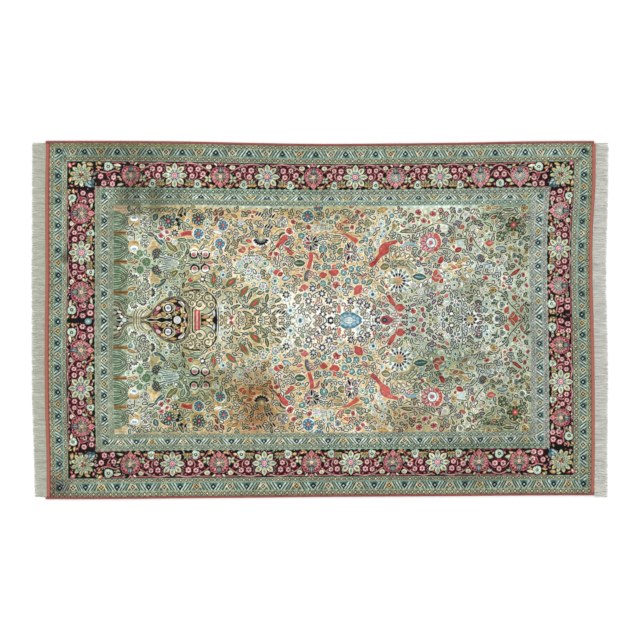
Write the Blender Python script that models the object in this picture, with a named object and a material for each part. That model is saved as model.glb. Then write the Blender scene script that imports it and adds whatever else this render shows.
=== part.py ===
# A hand-knotted silk rug, 1.86 m by 1.20 m, lying flat with a fringe at each end.
# X runs along the rug's length, Y across its width and Z up. The origin is on the floor,
# under the middle of the whole rug, fringes included. All sizes are in metres.

import math
import random

import bmesh
import bpy

# Driving sizes
WOVEN_LENGTH = 1.860       # from one kilim end's outer edge to the other
WOVEN_WIDTH = 1.203        # over both selvedges
PILE_THICKNESS = 0.006     # foundation and clipped silk pile
PILE_EDGE_ROUND = 0.0012   # the pile leans over a little at the rug's edge
KILIM_DEPTH = 0.012        # the coral flat-woven strip at each end
KILIM_THICKNESS = 0.0024
SELVEDGE_WIDTH = 0.008     # silk overcast round the outermost warps
SELVEDGE_THICKNESS = 0.0064
HEM_DEPTH = 0.004          # the row of knots that the fringe hangs from
HEM_THICKNESS = 0.0022
FRINGE_REACH = 0.979       # the furthest tips are this far from the middle, at both ends
LOCKS_PER_END = 104
LOCK_SHARE = 0.68          # how much of the hem the locks' roots take
LOCK_LEAN = 0.0009         # how far a lock leans sideways from its neighbour's line
LOCK_RAGGED = 0.0025       # how unevenly the locks are cut
LOCK_STEPS = [             # the share of a lock's length, of its root's width and of its lean, and its thickness
    (0.33, 0.98, 0.4, 0.0020),
    (0.72, 0.92, 1.0, 0.0017),
    (1.00, 0.62, 0.7, 0.0012),
]
GAP = 0.0003               # between pieces that touch

# How finely each curve is cut
BODY_LONG_STATIONS = 33    # along each long edge of the cloth
BODY_END_STATIONS = 21     # along each end of the cloth
SELVEDGE_SECTIONS = 49
SELVEDGE_SIDES = 10
KILIM_STATIONS = 25
HEM_STATIONS = 21
ROUND_STEPS = 2            # in the cloth's rounded top edge
BODY_SMOOTH = 40           # creases sharper than this many degrees stay crisp
SELVEDGE_SMOOTH = 50
LEAN_CARRIED = 0.6         # the share of its neighbour's lean that a lock keeps

# How far the edges wander from a true rectangle, in millimetres, outwards positive.
# A row for each station along the edge, from the left, or from the front for the ends.
EDGE_WANDER = [
    # station  back  front   left  right
    (-1.00,     5.5,   5.5,  -4.5,  -1.0),
    (-0.75,     5.5,   5.0,  -3.5,   0.5),
    (-0.50,     3.5,   2.5,   1.0,   0.5),
    (-0.25,    -1.5,   0.5,   2.5,  -0.5),
    (0.00,     -5.0,  -2.0,   2.0,  -3.5),
    (0.25,     -3.5,  -3.5,   0.0,  -7.0),
    (0.50,     -1.0,  -5.0,   0.5,  -6.0),
    (0.75,      3.5,  -7.0,   0.5,   2.5),
    (1.00,      5.0,  -7.5,  -1.5,   3.5),
]
STATION, BACK, FRONT, LEFT, RIGHT = range(5)
MM = 0.001

# How far the fringe falls short of FRINGE_REACH, in millimetres, from the front corner to the back one.
FRINGE_SHORT = [
    # station  left  right
    (-1.00,    11.0,   3.0),
    (-0.75,     7.5,   4.0),
    (-0.50,     2.5,   2.5),
    (-0.25,     0.5,   1.5),
    (0.00,      0.5,   4.5),
    (0.25,      0.0,   8.0),
    (0.50,      1.0,   5.0),
    (0.75,      1.5,   1.0),
    (1.00,      4.0,   0.0),
]
SHORT_LEFT, SHORT_RIGHT = 1, 2

# Colours as the photograph shows them
COLOURS = {
    "pile": (0.44, 0.46, 0.33, 1.0),
    "coral": (0.60, 0.16, 0.11, 1.0),
    "fringe": (0.66, 0.66, 0.58, 1.0),
}


def remove_everything():
    for thing in list(bpy.data.objects):
        bpy.data.objects.remove(thing)


def silk(name, colour, roughness):
    material = bpy.data.materials.new(name)
    material.use_nodes = True
    shader = material.node_tree.nodes["Principled BSDF"]
    shader.inputs["Base Color"].default_value = COLOURS[colour]
    shader.inputs["Roughness"].default_value = roughness
    shader.inputs["Metallic"].default_value = 0.0
    return material


def between(table, column, at):
    """A table's value at a place from -1 to 1, on a smooth curve through its rows."""
    at = max(-1.0, min(1.0, at))
    step = table[1][STATION] - table[0][STATION]
    place = (at - table[0][STATION]) / step
    row = min(int(place), len(table) - 2)
    share = place - row
    values = [table[max(0, min(len(table) - 1, row + k))][column] for k in (-1, 0, 1, 2)]
    a, b, c, d = values
    cubic = (
        b
        + 0.5 * share * (c - a)
        + share**2 * (a - 2.5 * b + 2.0 * c - 0.5 * d)
        + share**3 * (0.5 * (d - a) + 1.5 * (b - c))
    )
    return cubic * MM


def long_edge(x, side):
    """The Y of the rug's outer edge at x, on the back (+1) or front (-1) side."""
    column = BACK if side > 0 else FRONT
    return side * (WOVEN_WIDTH / 2 + between(EDGE_WANDER, column, 2 * x / WOVEN_LENGTH))


def end_edge(y, side):
    """The X of the kilim's outer edge at y, at the left (-1) or right (+1) end."""
    column = RIGHT if side > 0 else LEFT
    return side * (WOVEN_LENGTH / 2 + between(EDGE_WANDER, column, 2 * y / WOVEN_WIDTH))


def spread(low, high, count):
    return [low + (high - low) * i / (count - 1) for i in range(count)]


def finish_object(name, mesh, material, smooth_below=None):
    """Makes the bmesh an object with outward faces and its material."""
    bmesh.ops.recalc_face_normals(mesh, faces=mesh.faces)
    data = bpy.data.meshes.new(name)
    mesh.to_mesh(data)
    mesh.free()
    data.materials.append(material)
    if smooth_below is not None:
        data.shade_smooth()
        data.set_sharp_from_angle(angle=math.radians(smooth_below))
    thing = bpy.data.objects.new(name, data)
    bpy.context.scene.collection.objects.link(thing)
    return thing


def rug_body(material):
    """The knotted cloth: one flat slab inside the selvedges and kilim ends, its top edge rounded."""
    inset_long = SELVEDGE_WIDTH + GAP
    inset_end = KILIM_DEPTH + GAP
    half_length = WOVEN_LENGTH / 2 - inset_end
    half_width = WOVEN_WIDTH / 2 - inset_long

    def corner(x_side, y_side):
        return (
            end_edge(y_side * half_width, x_side) - x_side * inset_end,
            long_edge(x_side * half_length, y_side) - y_side * inset_long,
        )

    front_left, front_right = corner(-1, -1), corner(1, -1)
    back_right, back_left = corner(1, 1), corner(-1, 1)
    front = spread(front_left[0], front_right[0], BODY_LONG_STATIONS)
    right = spread(front_right[1], back_right[1], BODY_END_STATIONS)
    back = spread(back_right[0], back_left[0], BODY_LONG_STATIONS)
    left = spread(back_left[1], front_left[1], BODY_END_STATIONS)
    rim = [(x, long_edge(x, -1) + inset_long) for x in front[:-1]]
    rim += [(end_edge(y, 1) - inset_end, y) for y in right[:-1]]
    rim += [(x, long_edge(x, 1) - inset_long) for x in back[:-1]]
    rim += [(end_edge(y, -1) + inset_end, y) for y in left[:-1]]

    mesh = bmesh.new()
    floor = mesh.faces.new([mesh.verts.new((x, y, 0.0)) for x, y in rim])
    raised = bmesh.ops.extrude_face_region(mesh, geom=[floor])["geom"]
    top = [v for v in raised if isinstance(v, bmesh.types.BMVert)]
    bmesh.ops.translate(mesh, verts=top, vec=(0.0, 0.0, PILE_THICKNESS))
    upper = set(top)
    rim_edges = [e for e in mesh.edges if e.verts[0] in upper and e.verts[1] in upper]
    bmesh.ops.bevel(
        mesh, geom=rim_edges, offset=PILE_EDGE_ROUND, offset_type="OFFSET",
        segments=ROUND_STEPS, profile=0.5, affect="EDGES", material=-1,
    )
    return finish_object("rug_body", mesh, material, BODY_SMOOTH)


def selvedge(side, material):
    """The overcast edge along a long side: an oval roll that follows the rug's outline."""
    sides = SELVEDGE_SIDES
    name = "selvedge_back" if side > 0 else "selvedge_front"
    start = end_edge(side * WOVEN_WIDTH / 2, -1)
    stop = end_edge(side * WOVEN_WIDTH / 2, 1)
    half_wide, half_high = SELVEDGE_WIDTH / 2, SELVEDGE_THICKNESS / 2
    mesh = bmesh.new()
    rings = []
    for x in spread(start, stop, SELVEDGE_SECTIONS):
        centre = long_edge(x, side) - side * half_wide
        ring = []
        for k in range(sides):
            turn = 2 * math.pi * (k + 0.5) / sides
            y = centre + half_wide * math.cos(turn) / math.cos(math.pi / sides)
            z = half_high * (1 + math.sin(turn) / math.cos(math.pi / sides))
            y = max(centre - half_wide, min(centre + half_wide, y))
            ring.append(mesh.verts.new((x, y, max(0.0, min(SELVEDGE_THICKNESS, z)))))
        rings.append(ring)
    for near, far in zip(rings, rings[1:]):
        for k in range(sides):
            after = (k + 1) % sides
            mesh.faces.new((near[k], near[after], far[after], far[k]))
    mesh.faces.new(rings[0])
    mesh.faces.new(rings[-1])
    return finish_object(name, mesh, material, SELVEDGE_SMOOTH)


def band(name, inner, outer, low_y, high_y, count, thickness, material):
    """A flat strip between two curves x = inner(y) and x = outer(y)."""
    mesh = bmesh.new()
    stations = spread(low_y, high_y, count)
    rim = [(inner(y), y) for y in stations] + [(outer(y), y) for y in reversed(stations)]
    floor = mesh.faces.new([mesh.verts.new((x, y, 0.0)) for x, y in rim])
    raised = bmesh.ops.extrude_face_region(mesh, geom=[floor])["geom"]
    top = [v for v in raised if isinstance(v, bmesh.types.BMVert)]
    bmesh.ops.translate(mesh, verts=top, vec=(0.0, 0.0, thickness))
    return finish_object(name, mesh, material)


def kilim_end(side, material):
    """The coral flat-woven strip beyond the pile, between the two selvedges."""
    name = "kilim_right" if side > 0 else "kilim_left"
    reach = side * WOVEN_LENGTH / 2
    low_y = long_edge(reach, -1) + SELVEDGE_WIDTH + GAP
    high_y = long_edge(reach, 1) - SELVEDGE_WIDTH - GAP
    return band(
        name,
        lambda y: end_edge(y, side) - side * KILIM_DEPTH,
        lambda y: end_edge(y, side),
        low_y, high_y, KILIM_STATIONS, KILIM_THICKNESS, material,
    )


def fringe(side, material):
    """The warp ends: locks that lie on the floor, all rooted in one narrow knotted hem."""
    name = "fringe_right" if side > 0 else "fringe_left"
    column = SHORT_RIGHT if side > 0 else SHORT_LEFT
    chance = random.Random(71 + side)
    reach = side * WOVEN_LENGTH / 2
    low_y, high_y = long_edge(reach, -1), long_edge(reach, 1)
    pitch = (high_y - low_y) / LOCKS_PER_END
    margin = pitch * (1 - LOCK_SHARE) / 2

    def hem_inner(y):
        return end_edge(y, side) + side * GAP

    def hem_outer(y):
        return hem_inner(y) + side * HEM_DEPTH

    mesh = bmesh.new()
    marks = []
    for lock in range(LOCKS_PER_END):
        marks += [low_y + pitch * lock + margin, low_y + pitch * (lock + 1) - margin]
    marks = [low_y] + marks + [high_y]
    backs = spread(low_y, high_y, HEM_STATIONS)
    rim = [(hem_outer(y), y) for y in marks] + [(hem_inner(y), y) for y in reversed(backs)]
    floor = mesh.faces.new([mesh.verts.new((x, y, 0.0)) for x, y in rim])
    raised = bmesh.ops.extrude_face_region(mesh, geom=[floor])["geom"]
    top = [v for v in raised if isinstance(v, bmesh.types.BMVert)]
    bmesh.ops.translate(mesh, verts=top, vec=(0.0, 0.0, HEM_THICKNESS))

    def is_root(face, low, high):
        ys = [v.co.y for v in face.verts]
        return (
            len(face.verts) == 4
            and abs(min(ys) - low) < GAP
            and abs(max(ys) - high) < GAP
            and all(abs(v.co.x - hem_outer(v.co.y)) < GAP for v in face.verts)
        )

    walls = [f for f in mesh.faces if len(f.verts) == 4]
    roots = []
    for lock in range(LOCKS_PER_END):
        low, high = marks[1 + 2 * lock], marks[2 + 2 * lock]
        roots.append(next(f for f in walls if is_root(f, low, high)))

    lean = 0.0
    for face in roots:
        middle = face.calc_center_median().y
        root_x = hem_outer(middle)
        tip_x = side * (FRINGE_REACH - between(FRINGE_SHORT, column, 2 * middle / WOVEN_WIDTH))
        tip_x -= side * chance.uniform(0.0, LOCK_RAGGED)
        lean = LEAN_CARRIED * lean + chance.uniform(-LOCK_LEAN, LOCK_LEAN)
        half_root = pitch * LOCK_SHARE / 2
        for share, width, sway, thickness in LOCK_STEPS:
            centre = face.calc_center_median().y
            face = bmesh.ops.extrude_discrete_faces(mesh, faces=[face])["faces"][0]
            for v in face.verts:
                aside = 1 if v.co.y > centre else -1
                v.co.x = root_x + (tip_x - root_x) * share
                v.co.y = middle + lean * sway + aside * half_root * width
                v.co.z = thickness if v.co.z > 0.0 else 0.0
    return finish_object(name, mesh, material)


def main():
    remove_everything()
    pile = silk("pile_silk", "pile", 0.62)
    coral = silk("coral_silk", "coral", 0.66)
    warp = silk("fringe_silk", "fringe", 0.58)
    rug_body(pile)
    for side in (-1, 1):
        selvedge(side, coral)
        kilim_end(side, coral)
        fringe(side, warp)


main()
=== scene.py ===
# The looks of a hand-knotted Kashmir silk rug: clipped pile with its drawn design, overcast
# edges, flat-woven ends and a silk fringe. X runs along the rug, Y across it, Z up.
import math
import random

import bmesh
import bpy
import numpy as np
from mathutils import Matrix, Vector


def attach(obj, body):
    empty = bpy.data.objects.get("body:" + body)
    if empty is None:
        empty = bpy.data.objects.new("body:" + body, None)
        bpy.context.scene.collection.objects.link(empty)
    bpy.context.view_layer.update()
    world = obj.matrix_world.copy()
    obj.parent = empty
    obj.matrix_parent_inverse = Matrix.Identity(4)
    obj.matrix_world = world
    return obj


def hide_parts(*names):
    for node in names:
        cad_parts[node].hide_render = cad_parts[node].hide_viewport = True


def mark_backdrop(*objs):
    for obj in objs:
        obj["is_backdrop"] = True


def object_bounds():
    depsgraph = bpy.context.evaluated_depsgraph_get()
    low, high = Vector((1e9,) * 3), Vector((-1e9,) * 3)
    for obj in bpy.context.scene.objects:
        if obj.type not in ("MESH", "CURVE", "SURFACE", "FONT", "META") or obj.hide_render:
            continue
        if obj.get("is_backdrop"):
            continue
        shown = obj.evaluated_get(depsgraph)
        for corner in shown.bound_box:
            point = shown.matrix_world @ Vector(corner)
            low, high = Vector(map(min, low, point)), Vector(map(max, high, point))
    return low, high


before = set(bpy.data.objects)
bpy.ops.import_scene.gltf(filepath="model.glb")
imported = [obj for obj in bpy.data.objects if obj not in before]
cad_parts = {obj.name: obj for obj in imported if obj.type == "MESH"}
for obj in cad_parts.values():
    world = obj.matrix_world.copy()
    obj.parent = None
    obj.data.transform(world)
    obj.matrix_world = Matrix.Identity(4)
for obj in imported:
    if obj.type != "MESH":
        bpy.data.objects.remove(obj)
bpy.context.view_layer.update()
mm = 0.001

# The woven rug's own rectangle, and how far each edge wanders outwards from it, in millimetres,
# at stations from one end of that edge to the other
rug = dict(
    length=1860.0,
    width=1203.0,
    back=[5.5, 5.5, 3.5, -1.5, -5.0, -3.5, -1.0, 3.5, 5.0],
    front=[5.5, 5.0, 2.5, 0.5, -2.0, -3.5, -5.0, -7.0, -7.5],
    left=[-4.5, -3.5, 1.0, 2.5, 2.0, 0.0, 0.5, 0.5, -1.5],
    right=[-1.0, 0.5, 0.5, -0.5, -3.5, -7.0, -6.0, 2.5, 3.5],
    kilimDepth=12.0,
    selvedgeWidth=8.0,
    gap=0.3,
    drawnEvery=0.6,      # the drawing's own step, half a knot
)


def along(values, place):
    # the value at a place from -1 to 1, on a smooth curve through the stations
    values = np.asarray(values)
    spot = (np.clip(place, -1, 1) + 1) * (len(values) - 1) / 2
    row = np.clip(np.floor(spot).astype(int), 0, len(values) - 2)
    share = spot - row
    a, b = values[np.maximum(row - 1, 0)], values[row]
    c, d = values[row + 1], values[np.minimum(row + 2, len(values) - 1)]
    bend = a - 2.5 * b + 2 * c - 0.5 * d
    return b + 0.5 * share * (c - a) + share**2 * bend + share**3 * (0.5 * (d - a) + 1.5 * (b - c))


def edgeOf(side, place):
    # how far the back, front, left or right edge lies from the middle, in millimetres
    half = rug["width"] / 2 if side in ("back", "front") else rug["length"] / 2
    return half + along(rug[side], place)


# Dyed silks, as red, green and blue out of 255
silk = dict(
    navy=(16, 15, 18), ink=(14, 14, 17), burgundy=(74, 20, 34), wine=(48, 12, 22), night=(18, 24, 26),
    rose=(190, 112, 120), coral=(190, 98, 92), blush=(220, 178, 174), red=(186, 88, 80),
            crimson=(150, 62, 66),
    maroon=(112, 50, 52), deepBand=(86, 118, 108), cream=(222, 214, 184), ivory=(234, 232, 214),
            white=(242, 243, 236),
    sage=(176, 182, 148), celadon=(150, 172, 148), mint=(196, 212, 192), mist=(190, 206, 204),
            sky=(140, 174, 184),
    teal=(66, 114, 116), deepTeal=(34, 58, 60), blue=(66, 112, 130), slate=(96, 110, 118),
            gold=(190, 156, 104),
    straw=(212, 190, 136), amber=(172, 128, 80), rust=(156, 96, 54), olive=(132, 130, 84), moss=(82, 90, 58),
    bark=(60, 54, 36), leaf=(108, 136, 98), fern=(74, 104, 78), stone=(150, 154, 130), lilac=(172, 150, 164),
    mauve=(140, 106, 114), guard=(160, 161, 136), guardPale=(214, 214, 186), guardGreen=(156, 168, 146),
    husk=(66, 62, 38), huskGreen=(50, 68, 56), band=(108, 128, 118), bandPale=(220, 228, 218),
            edge=(150, 90, 78),
    honey=(212, 182, 128), meadow=(166, 184, 156), frost=(200, 216, 204), guardFrost=(222, 228, 204),
    aqua=(124, 160, 152), chalk=(244, 244, 234), brick=(164, 74, 66),
    apricot=(206, 158, 118), sand=(206, 184, 136), umber=(70, 48, 24), pinkSilk=(202, 152, 146),
)


def oval(x, y, across, up, turn=0, sides=16):
    angle = np.linspace(0, 2 * np.pi, sides, endpoint=False)
    c, s = math.cos(math.radians(turn)), math.sin(math.radians(turn))
    p, q = across * np.cos(angle), up * np.sin(angle)
    return np.column_stack((x + p * c - q * s, y + p * s + q * c))


def box(left, low, right, high):
    return np.array([(left, low), (right, low), (right, high), (left, high)], float)


def lozenge(x, y, across, up):
    return np.array([(x - across, y), (x, y - up), (x + across, y), (x, y + up)], float)


def blade(length, width, bend=0.0, start=0.0, sides=9):
    # a leaf pointed at both ends, lying along +x
    t = np.linspace(0, 1, sides)
    half = width / 2 * np.sin(np.pi * t) ** 0.8
    middle = bend * np.sin(np.pi * t)
    rim = np.column_stack((start + t * length, middle + half))
    return np.vstack((rim, np.column_stack((start + t * length, middle - half))[::-1]))


def drop(length, width, start=0.0, sides=9):
    # round at its foot and pointed at +x
    t = np.linspace(0, 1, sides)
    half = width * np.sqrt(t) * (1 - t) ** 0.8 * 1.15
    rim = np.column_stack((start + t * length, half))
    return np.vstack((rim, np.column_stack((start + t * length, -half))[::-1]))


def scallops(count, inner, outer, start=0.0, stop=360.0):
    # a disc with a lobed rim, or with start and stop a part of one
    angle = np.radians(np.linspace(start, stop, count * 8 + 1))
    lobe = np.abs(np.sin((angle - math.radians(start)) * 180 * count / math.radians(180) / (stop - start)))
    reach = inner + (outer - inner) * lobe**0.6
    return np.column_stack((reach * np.cos(angle), reach * np.sin(angle)))


def grown(points, by):
    points = np.asarray(points, float)
    after, before = np.roll(points, -1, 0), np.roll(points, 1, 0)
    way = after - before
    out = np.column_stack((way[:, 1], -way[:, 0])) / np.maximum(np.hypot(*way.T), 1e-6)[:, None]
    area = np.sum(points[:, 0] * after[:, 1] - after[:, 0] * points[:, 1])
    return points + out * (by if area > 0 else -by)


def through(points, steps=6):
    # a smooth line through the points
    points = np.asarray(points, float)
    if len(points) < 3:
        return points
    p = np.vstack((2 * points[0] - points[1], points, 2 * points[-1] - points[-2]))
    t = (np.arange(steps) / steps)[:, None]
    line = []
    for a, b, c, d in zip(p, p[1:], p[2:], p[3:]):
        line.append(b + 0.5 * t * (c - a) + t**2 * (a - 2.5 * b + 2 * c - 0.5 * d)
                    + t**3 * (0.5 * (d - a) + 1.5 * (b - c)))
    return np.vstack(line + [points[-1:]])


def ribbon(points, width, taper=0.0):
    line = through(points)
    way = np.gradient(line, axis=0)
    out = np.column_stack((-way[:, 1], way[:, 0])) / np.maximum(np.hypot(*way.T), 1e-6)[:, None]
    half = width / 2 * (1 - taper * np.linspace(0, 1, len(line)))[:, None]
    return np.vstack((line + out * half, (line - out * half)[::-1]))


class Design:
    # the drawing that the knots follow, laid out on the rug's true rectangle

    def __init__(self, length, width, step):
        self.length, self.width, self.step = length, width, step
        self.ink = np.zeros((round(width / step), round(length / step), 3), np.float32)

    def window(self, points):
        col = (points[:, 0] + self.length / 2) / self.step
        row = (self.width / 2 - points[:, 1]) / self.step
        left, right = max(int(col.min()), 0), min(int(col.max()) + 2, self.ink.shape[1])
        top, bottom = max(int(row.min()), 0), min(int(row.max()) + 2, self.ink.shape[0])
        return col, row, left, right, top, bottom

    def fill(self, points, colour):
        col, row, left, right, top, bottom = self.window(points)
        if left >= right or top >= bottom:
            return
        cols, rows = np.arange(left, right) + 0.5, np.arange(top, bottom) + 0.5
        turns = np.zeros((bottom - top, right - left), np.int16)
        for c0, r0, c1, r1 in zip(col, row, np.roll(col, -1), np.roll(row, -1)):
            if r0 == r1:
                continue
            first = max(math.ceil(min(r0, r1) - 0.5) - top, 0)
            last = min(math.ceil(max(r0, r1) - 0.5) - top, bottom - top)
            if first >= last:
                continue
            cross = c0 + (rows[first:last] - r0) * (c1 - c0) / (r1 - r0)
            hit = cross[:, None] > cols
            turns[first:last] += hit if r1 > r0 else -hit.astype(np.int16)
        self.ink[top:bottom, left:right][turns != 0] = silk[colour]

    def wash(self, u, v, across, up, colour, share, within=None, deepen=False):
        # a soft spot of colour, or with deepen of tinted shade, that fades out towards its rim
        points = np.array([(u - across, v - up), (u + across, v + up)])
        if within is not None:
            points = np.clip(points, np.min(within, 0), np.max(within, 0))
        _, _, left, right, top, bottom = self.window(points)
        uu = ((np.arange(left, right) + 0.5) * self.step - self.length / 2 - u) / across
        vv = (self.width / 2 - (np.arange(top, bottom) + 0.5) * self.step - v) / up
        far = np.clip(1 - uu[None, :] ** 2 - vv[:, None] ** 2, 0, 1)
        soft = (share * far**1.2)[..., None].astype(np.float32)
        patch = self.ink[top:bottom, left:right]
        dye = np.array(silk[colour], np.float32)
        if deepen:
            patch *= 1 - soft * (1 - dye / 255)
        else:
            patch += (dye - patch) * soft


class Pen:
    # draws in its own small frame, in millimetres, and twice over where the design is mirrored

    def __init__(self, design, u=0.0, v=0.0, turn=0.0, size=1.0, hand=1, twin=False):
        self.design, self.u, self.v, self.turn = design, u, v, turn
        self.size, self.hand, self.twin = size, hand, twin

    def place(self, points):
        points = np.asarray(points, float) * self.size
        x, y = points[:, 0] * self.hand, points[:, 1]
        c, s = math.cos(math.radians(self.turn)), math.sin(math.radians(self.turn))
        return np.column_stack((self.u + x * c - y * s, self.v + x * s + y * c))

    def at(self, x, y, turn=0.0, size=1.0, hand=1):
        u, v = self.place([(x, y)])[0]
        turned = self.turn + turn * self.hand
        return Pen(self.design, u, v, turned, self.size * size, self.hand * hand, self.twin)

    def fill(self, points, colour, edge=None, rim=1.5):
        if edge:
            self.fill(grown(points, rim), edge)
        placed = self.place(points)
        self.design.fill(placed, colour)
        if self.twin:
            self.design.fill(placed * (1, -1), colour)

    def disc(self, radius, colour, edge=None, rim=1.5, sides=16):
        self.fill(oval(0, 0, radius, radius, sides=sides), colour, edge, rim)

    def blade(self, x, y, turn, length, width, colour, edge=None, rim=1.5, bend=0.0, start=0.0):
        self.at(x, y, turn).fill(blade(length, width, bend, start), colour, edge, rim)

    def line(self, points, width, colour, edge=None, rim=1.5, taper=0.0):
        if edge:
            self.fill(ribbon(points, width + 2 * rim, taper), edge)
        self.fill(ribbon(points, width, taper), colour)


# Flowers seen face on: number of petals; colours of petal, shine, gap, heart, eye, rim and halo; how
# much of the flower is heart, and how deep its rim is lobed
flowers = dict(
    daisy=(8, "blue", "teal", "mist", "red", "blush", "blue", "chalk", 0.36, 0.16),
    darkDaisy=(8, "teal", "mist", "cream", "maroon", "rose", "deepTeal", "chalk", 0.32, 0.3),
    ring=(8, "chalk", "mint", "teal", "rose", "blush", "teal", "ivory", 0.3, 0.1),
    paleRing=(7, "chalk", "mist", "slate", "blush", "rose", "celadon", "ivory", 0.3, 0.3),
    drop=(8, "mist", "chalk", "celadon", "celadon", "rose", "aqua", "ivory", 0.34, 0.1),
    eye=(8, "mint", "chalk", "celadon", "deepTeal", "celadon", "fern", "ivory", 0.34, 0.14),
    disc=(7, "aqua", "aqua", "teal", "mint", "chalk", "deepTeal", "ivory", 0.3, 0.08),
    blueEye=(8, "chalk", "mist", "aqua", "teal", "deepTeal", "aqua", "ivory", 0.42, 0.1),
    floret=(6, "blush", "ivory", "rose", "ink", "stone", "rose", "wine", 0.36, 0.2),
    lobe=(9, "mint", "ivory", "celadon", "deepTeal", "cream", "mint", "night", 0.42, 0.16),
    star=(8, "straw", "gold", "bark", "bark", "straw", "husk", "cream", 0.32, 0.3),
    berry=(5, "coral", "pinkSilk", "maroon", "maroon", "straw", "brick", "ivory", 0.26, 0.5),
    plum=(5, "rose", "blush", "maroon", "maroon", "blush", "mauve", "ivory", 0.24, 0.4),
    green=(7, "leaf", "celadon", "fern", "sage", "leaf", "leaf", "mint", 0.3, 0.06),
    olive=(8, "sage", "straw", "moss", "olive", "cream", "bark", "cream", 0.36, 0.2),
)


def flower(pen, radius, kind):
    petals, petal, shine, gap, heart, eye, rim, halo, share, depth = flowers[kind]
    full = radius * 1.08
    pen.disc(full + 2.4, halo, sides=20)
    pen.fill(scallops(petals, full * (1 - depth), full), rim)
    pen.disc(full * (0.86 - depth * 0.3), gap, sides=20)
    wide = math.sin(math.pi / petals) * 0.54
    for k in range(petals):
        turned = pen.at(0, 0, 360 * (k + 0.5) / petals)
        turned.fill(oval(radius * 0.64, 0, radius * 0.33, radius * wide, sides=10), petal)
        turned.fill(oval(radius * 0.68, 0, radius * 0.17, radius * wide * 0.4, sides=8), shine)
    pen.disc(radius * share, heart, sides=12)
    pen.disc(radius * share * 0.42, eye, sides=8)


def leaf(pen, length, width, colour, edge="bark", vein=True):
    shape = blade(length, width)
    pen.fill(grown(shape, 4.4), "ivory")
    pen.fill(shape, colour, edge, 2.3)
    if vein:
        pen.line([(length * 0.15, 0), (length * 0.5, 0), (length * 0.85, 0)], 1.6, "cream")


print("colours and drawing tools ready")

# The bands, from the rug's edge inwards: where each begins on the left, right, back and front
bands = dict(
    woven=(-930.0, 930.0, 601.5, -601.5),
    guard1=(-914.0, 920.0, 594.0, -595.5),
    tents1=(-899.0, 903.0, 578.0, -575.0),
    guard2=(-872.0, 878.0, 552.0, -548.0),
    main=(-856.0, 857.0, 531.0, -530.5),
    guard3=(-759.0, 774.0, 443.0, -437.5),
    tents2=(-741.0, 757.0, 424.0, -419.5),
    guard4=(-716.0, 732.0, 407.0, -400.0),
    field=(-698.0, 715.0, 388.0, -382.0),
)
sides = dict(back=0, right=-90, front=180, left=90)   # how far each side's own frame is turned


def bandBox(name, by=0.0):
    left, right, back, front = bands[name]
    return box(left - by, front - by, right + by, back + by)


def sideFrame(design, side, outer, inner):
    # a pen whose x runs along a side and whose y points out of the rug, on a band's middle line,
    # with the band's half width and how far it reaches to either corner
    column = dict(left=0, right=1, back=2, front=3)[side]
    middle = (bands[outer][column] + bands[inner][column]) / 2
    half = abs(bands[outer][column] - bands[inner][column]) / 2
    pair = (0, 1) if side in ("back", "front") else (3, 2)
    ends = [(bands[outer][k] + bands[inner][k]) / 2 for k in pair]
    if side in ("back", "front"):
        pen = Pen(design, 0, middle, sides[side])
    else:
        pen = Pen(design, middle, 0, sides[side])
    if side in ("right", "front"):
        ends = [-e for e in ends][::-1]
    return pen, half, ends


guard = dict(pitch=19.4, loop=7.2, line=3.0, heart=2.6)


def drawGuard(design, outer, inner, line="husk", spot="guardPale", ground="guard", rim="celadon"):
    # a narrow stripe with a chain of small lozenges and a tooth of paler silk between each two
    for side in sides:
        pen, half, (start, stop) = sideFrame(design, side, outer, inner)
        count = max(2, round((stop - start) / guard["pitch"]))
        pitch = (stop - start) / count
        high = half * 0.86
        for k in range(count + 1):
            link = pen.at(start + k * pitch, 0)
            for y in (-1, 1):
                link.fill(lozenge(pitch / 2, y * half, 6.2, half * 0.42), rim)
                link.fill(lozenge(pitch / 2, y * half * 0.3, 2.2, half * 0.24), line)
            link.fill(lozenge(0, 0, guard["loop"], high), line)
            link.fill(lozenge(0, 0, guard["loop"] - guard["line"], high - guard["line"] * 1.2), ground)
            link.fill(lozenge(0, 0, guard["heart"], guard["heart"]), spot)


# Where the lozenges of each zigzag band stand: their number and their places along the sides
tentPlan = dict(
    tents1=dict(back=((0, -880), (2, -798), (8, -468), (16, -16), (25, 438), (34, 895)),
                front=((0, -883), (2, -798), (8, -477), (16, -25), (25, 440), (34, 892)),
                left=((0, 567), (8, 234), (13, 26), (15, -37), (20, -242), (28, -563)),
                right=((0, 567), (7, 288), (13, 41), (15, -16), (22, -296), (28, -561))),
    tents2=dict(back=((0, -728), (6, -403), (13, -11), (20, 333), (28, 746)),
                front=((0, -730), (6, -412), (13, -26), (20, 337), (28, 746)),
                left=((0, 415), (9, 47), (10, -3), (11, -56), (20, -411)),
                right=((0, 415), (9, 59), (10, 5), (11, -45), (20, -408))),
)
# Slanting lines from a blue lozenge towards a brown one: where each begins and ends, width, colour
slants = dict(
    long=((3, 20, 4.4, "bandPale"), (8.4, 26, 2.6, "bark"), (14, 31, 3.4, "bandPale"), (19, 36, 2.4, "bark"),
          (24.5, 40.5, 3.2, "celadon"), (30, 45, 2.6, "bark"), (36, 49, 2.8, "cream"), (42, 53, 2.4, "husk")),
    short=((1, 24, 4.6, "bandPale"), (8.6, 32, 2.8, "bark"), (16, 39, 3.8, "bandPale"), (23, 45, 2.6, "bark"),
           (30, 51, 3.0, "celadon")),
)


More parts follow.
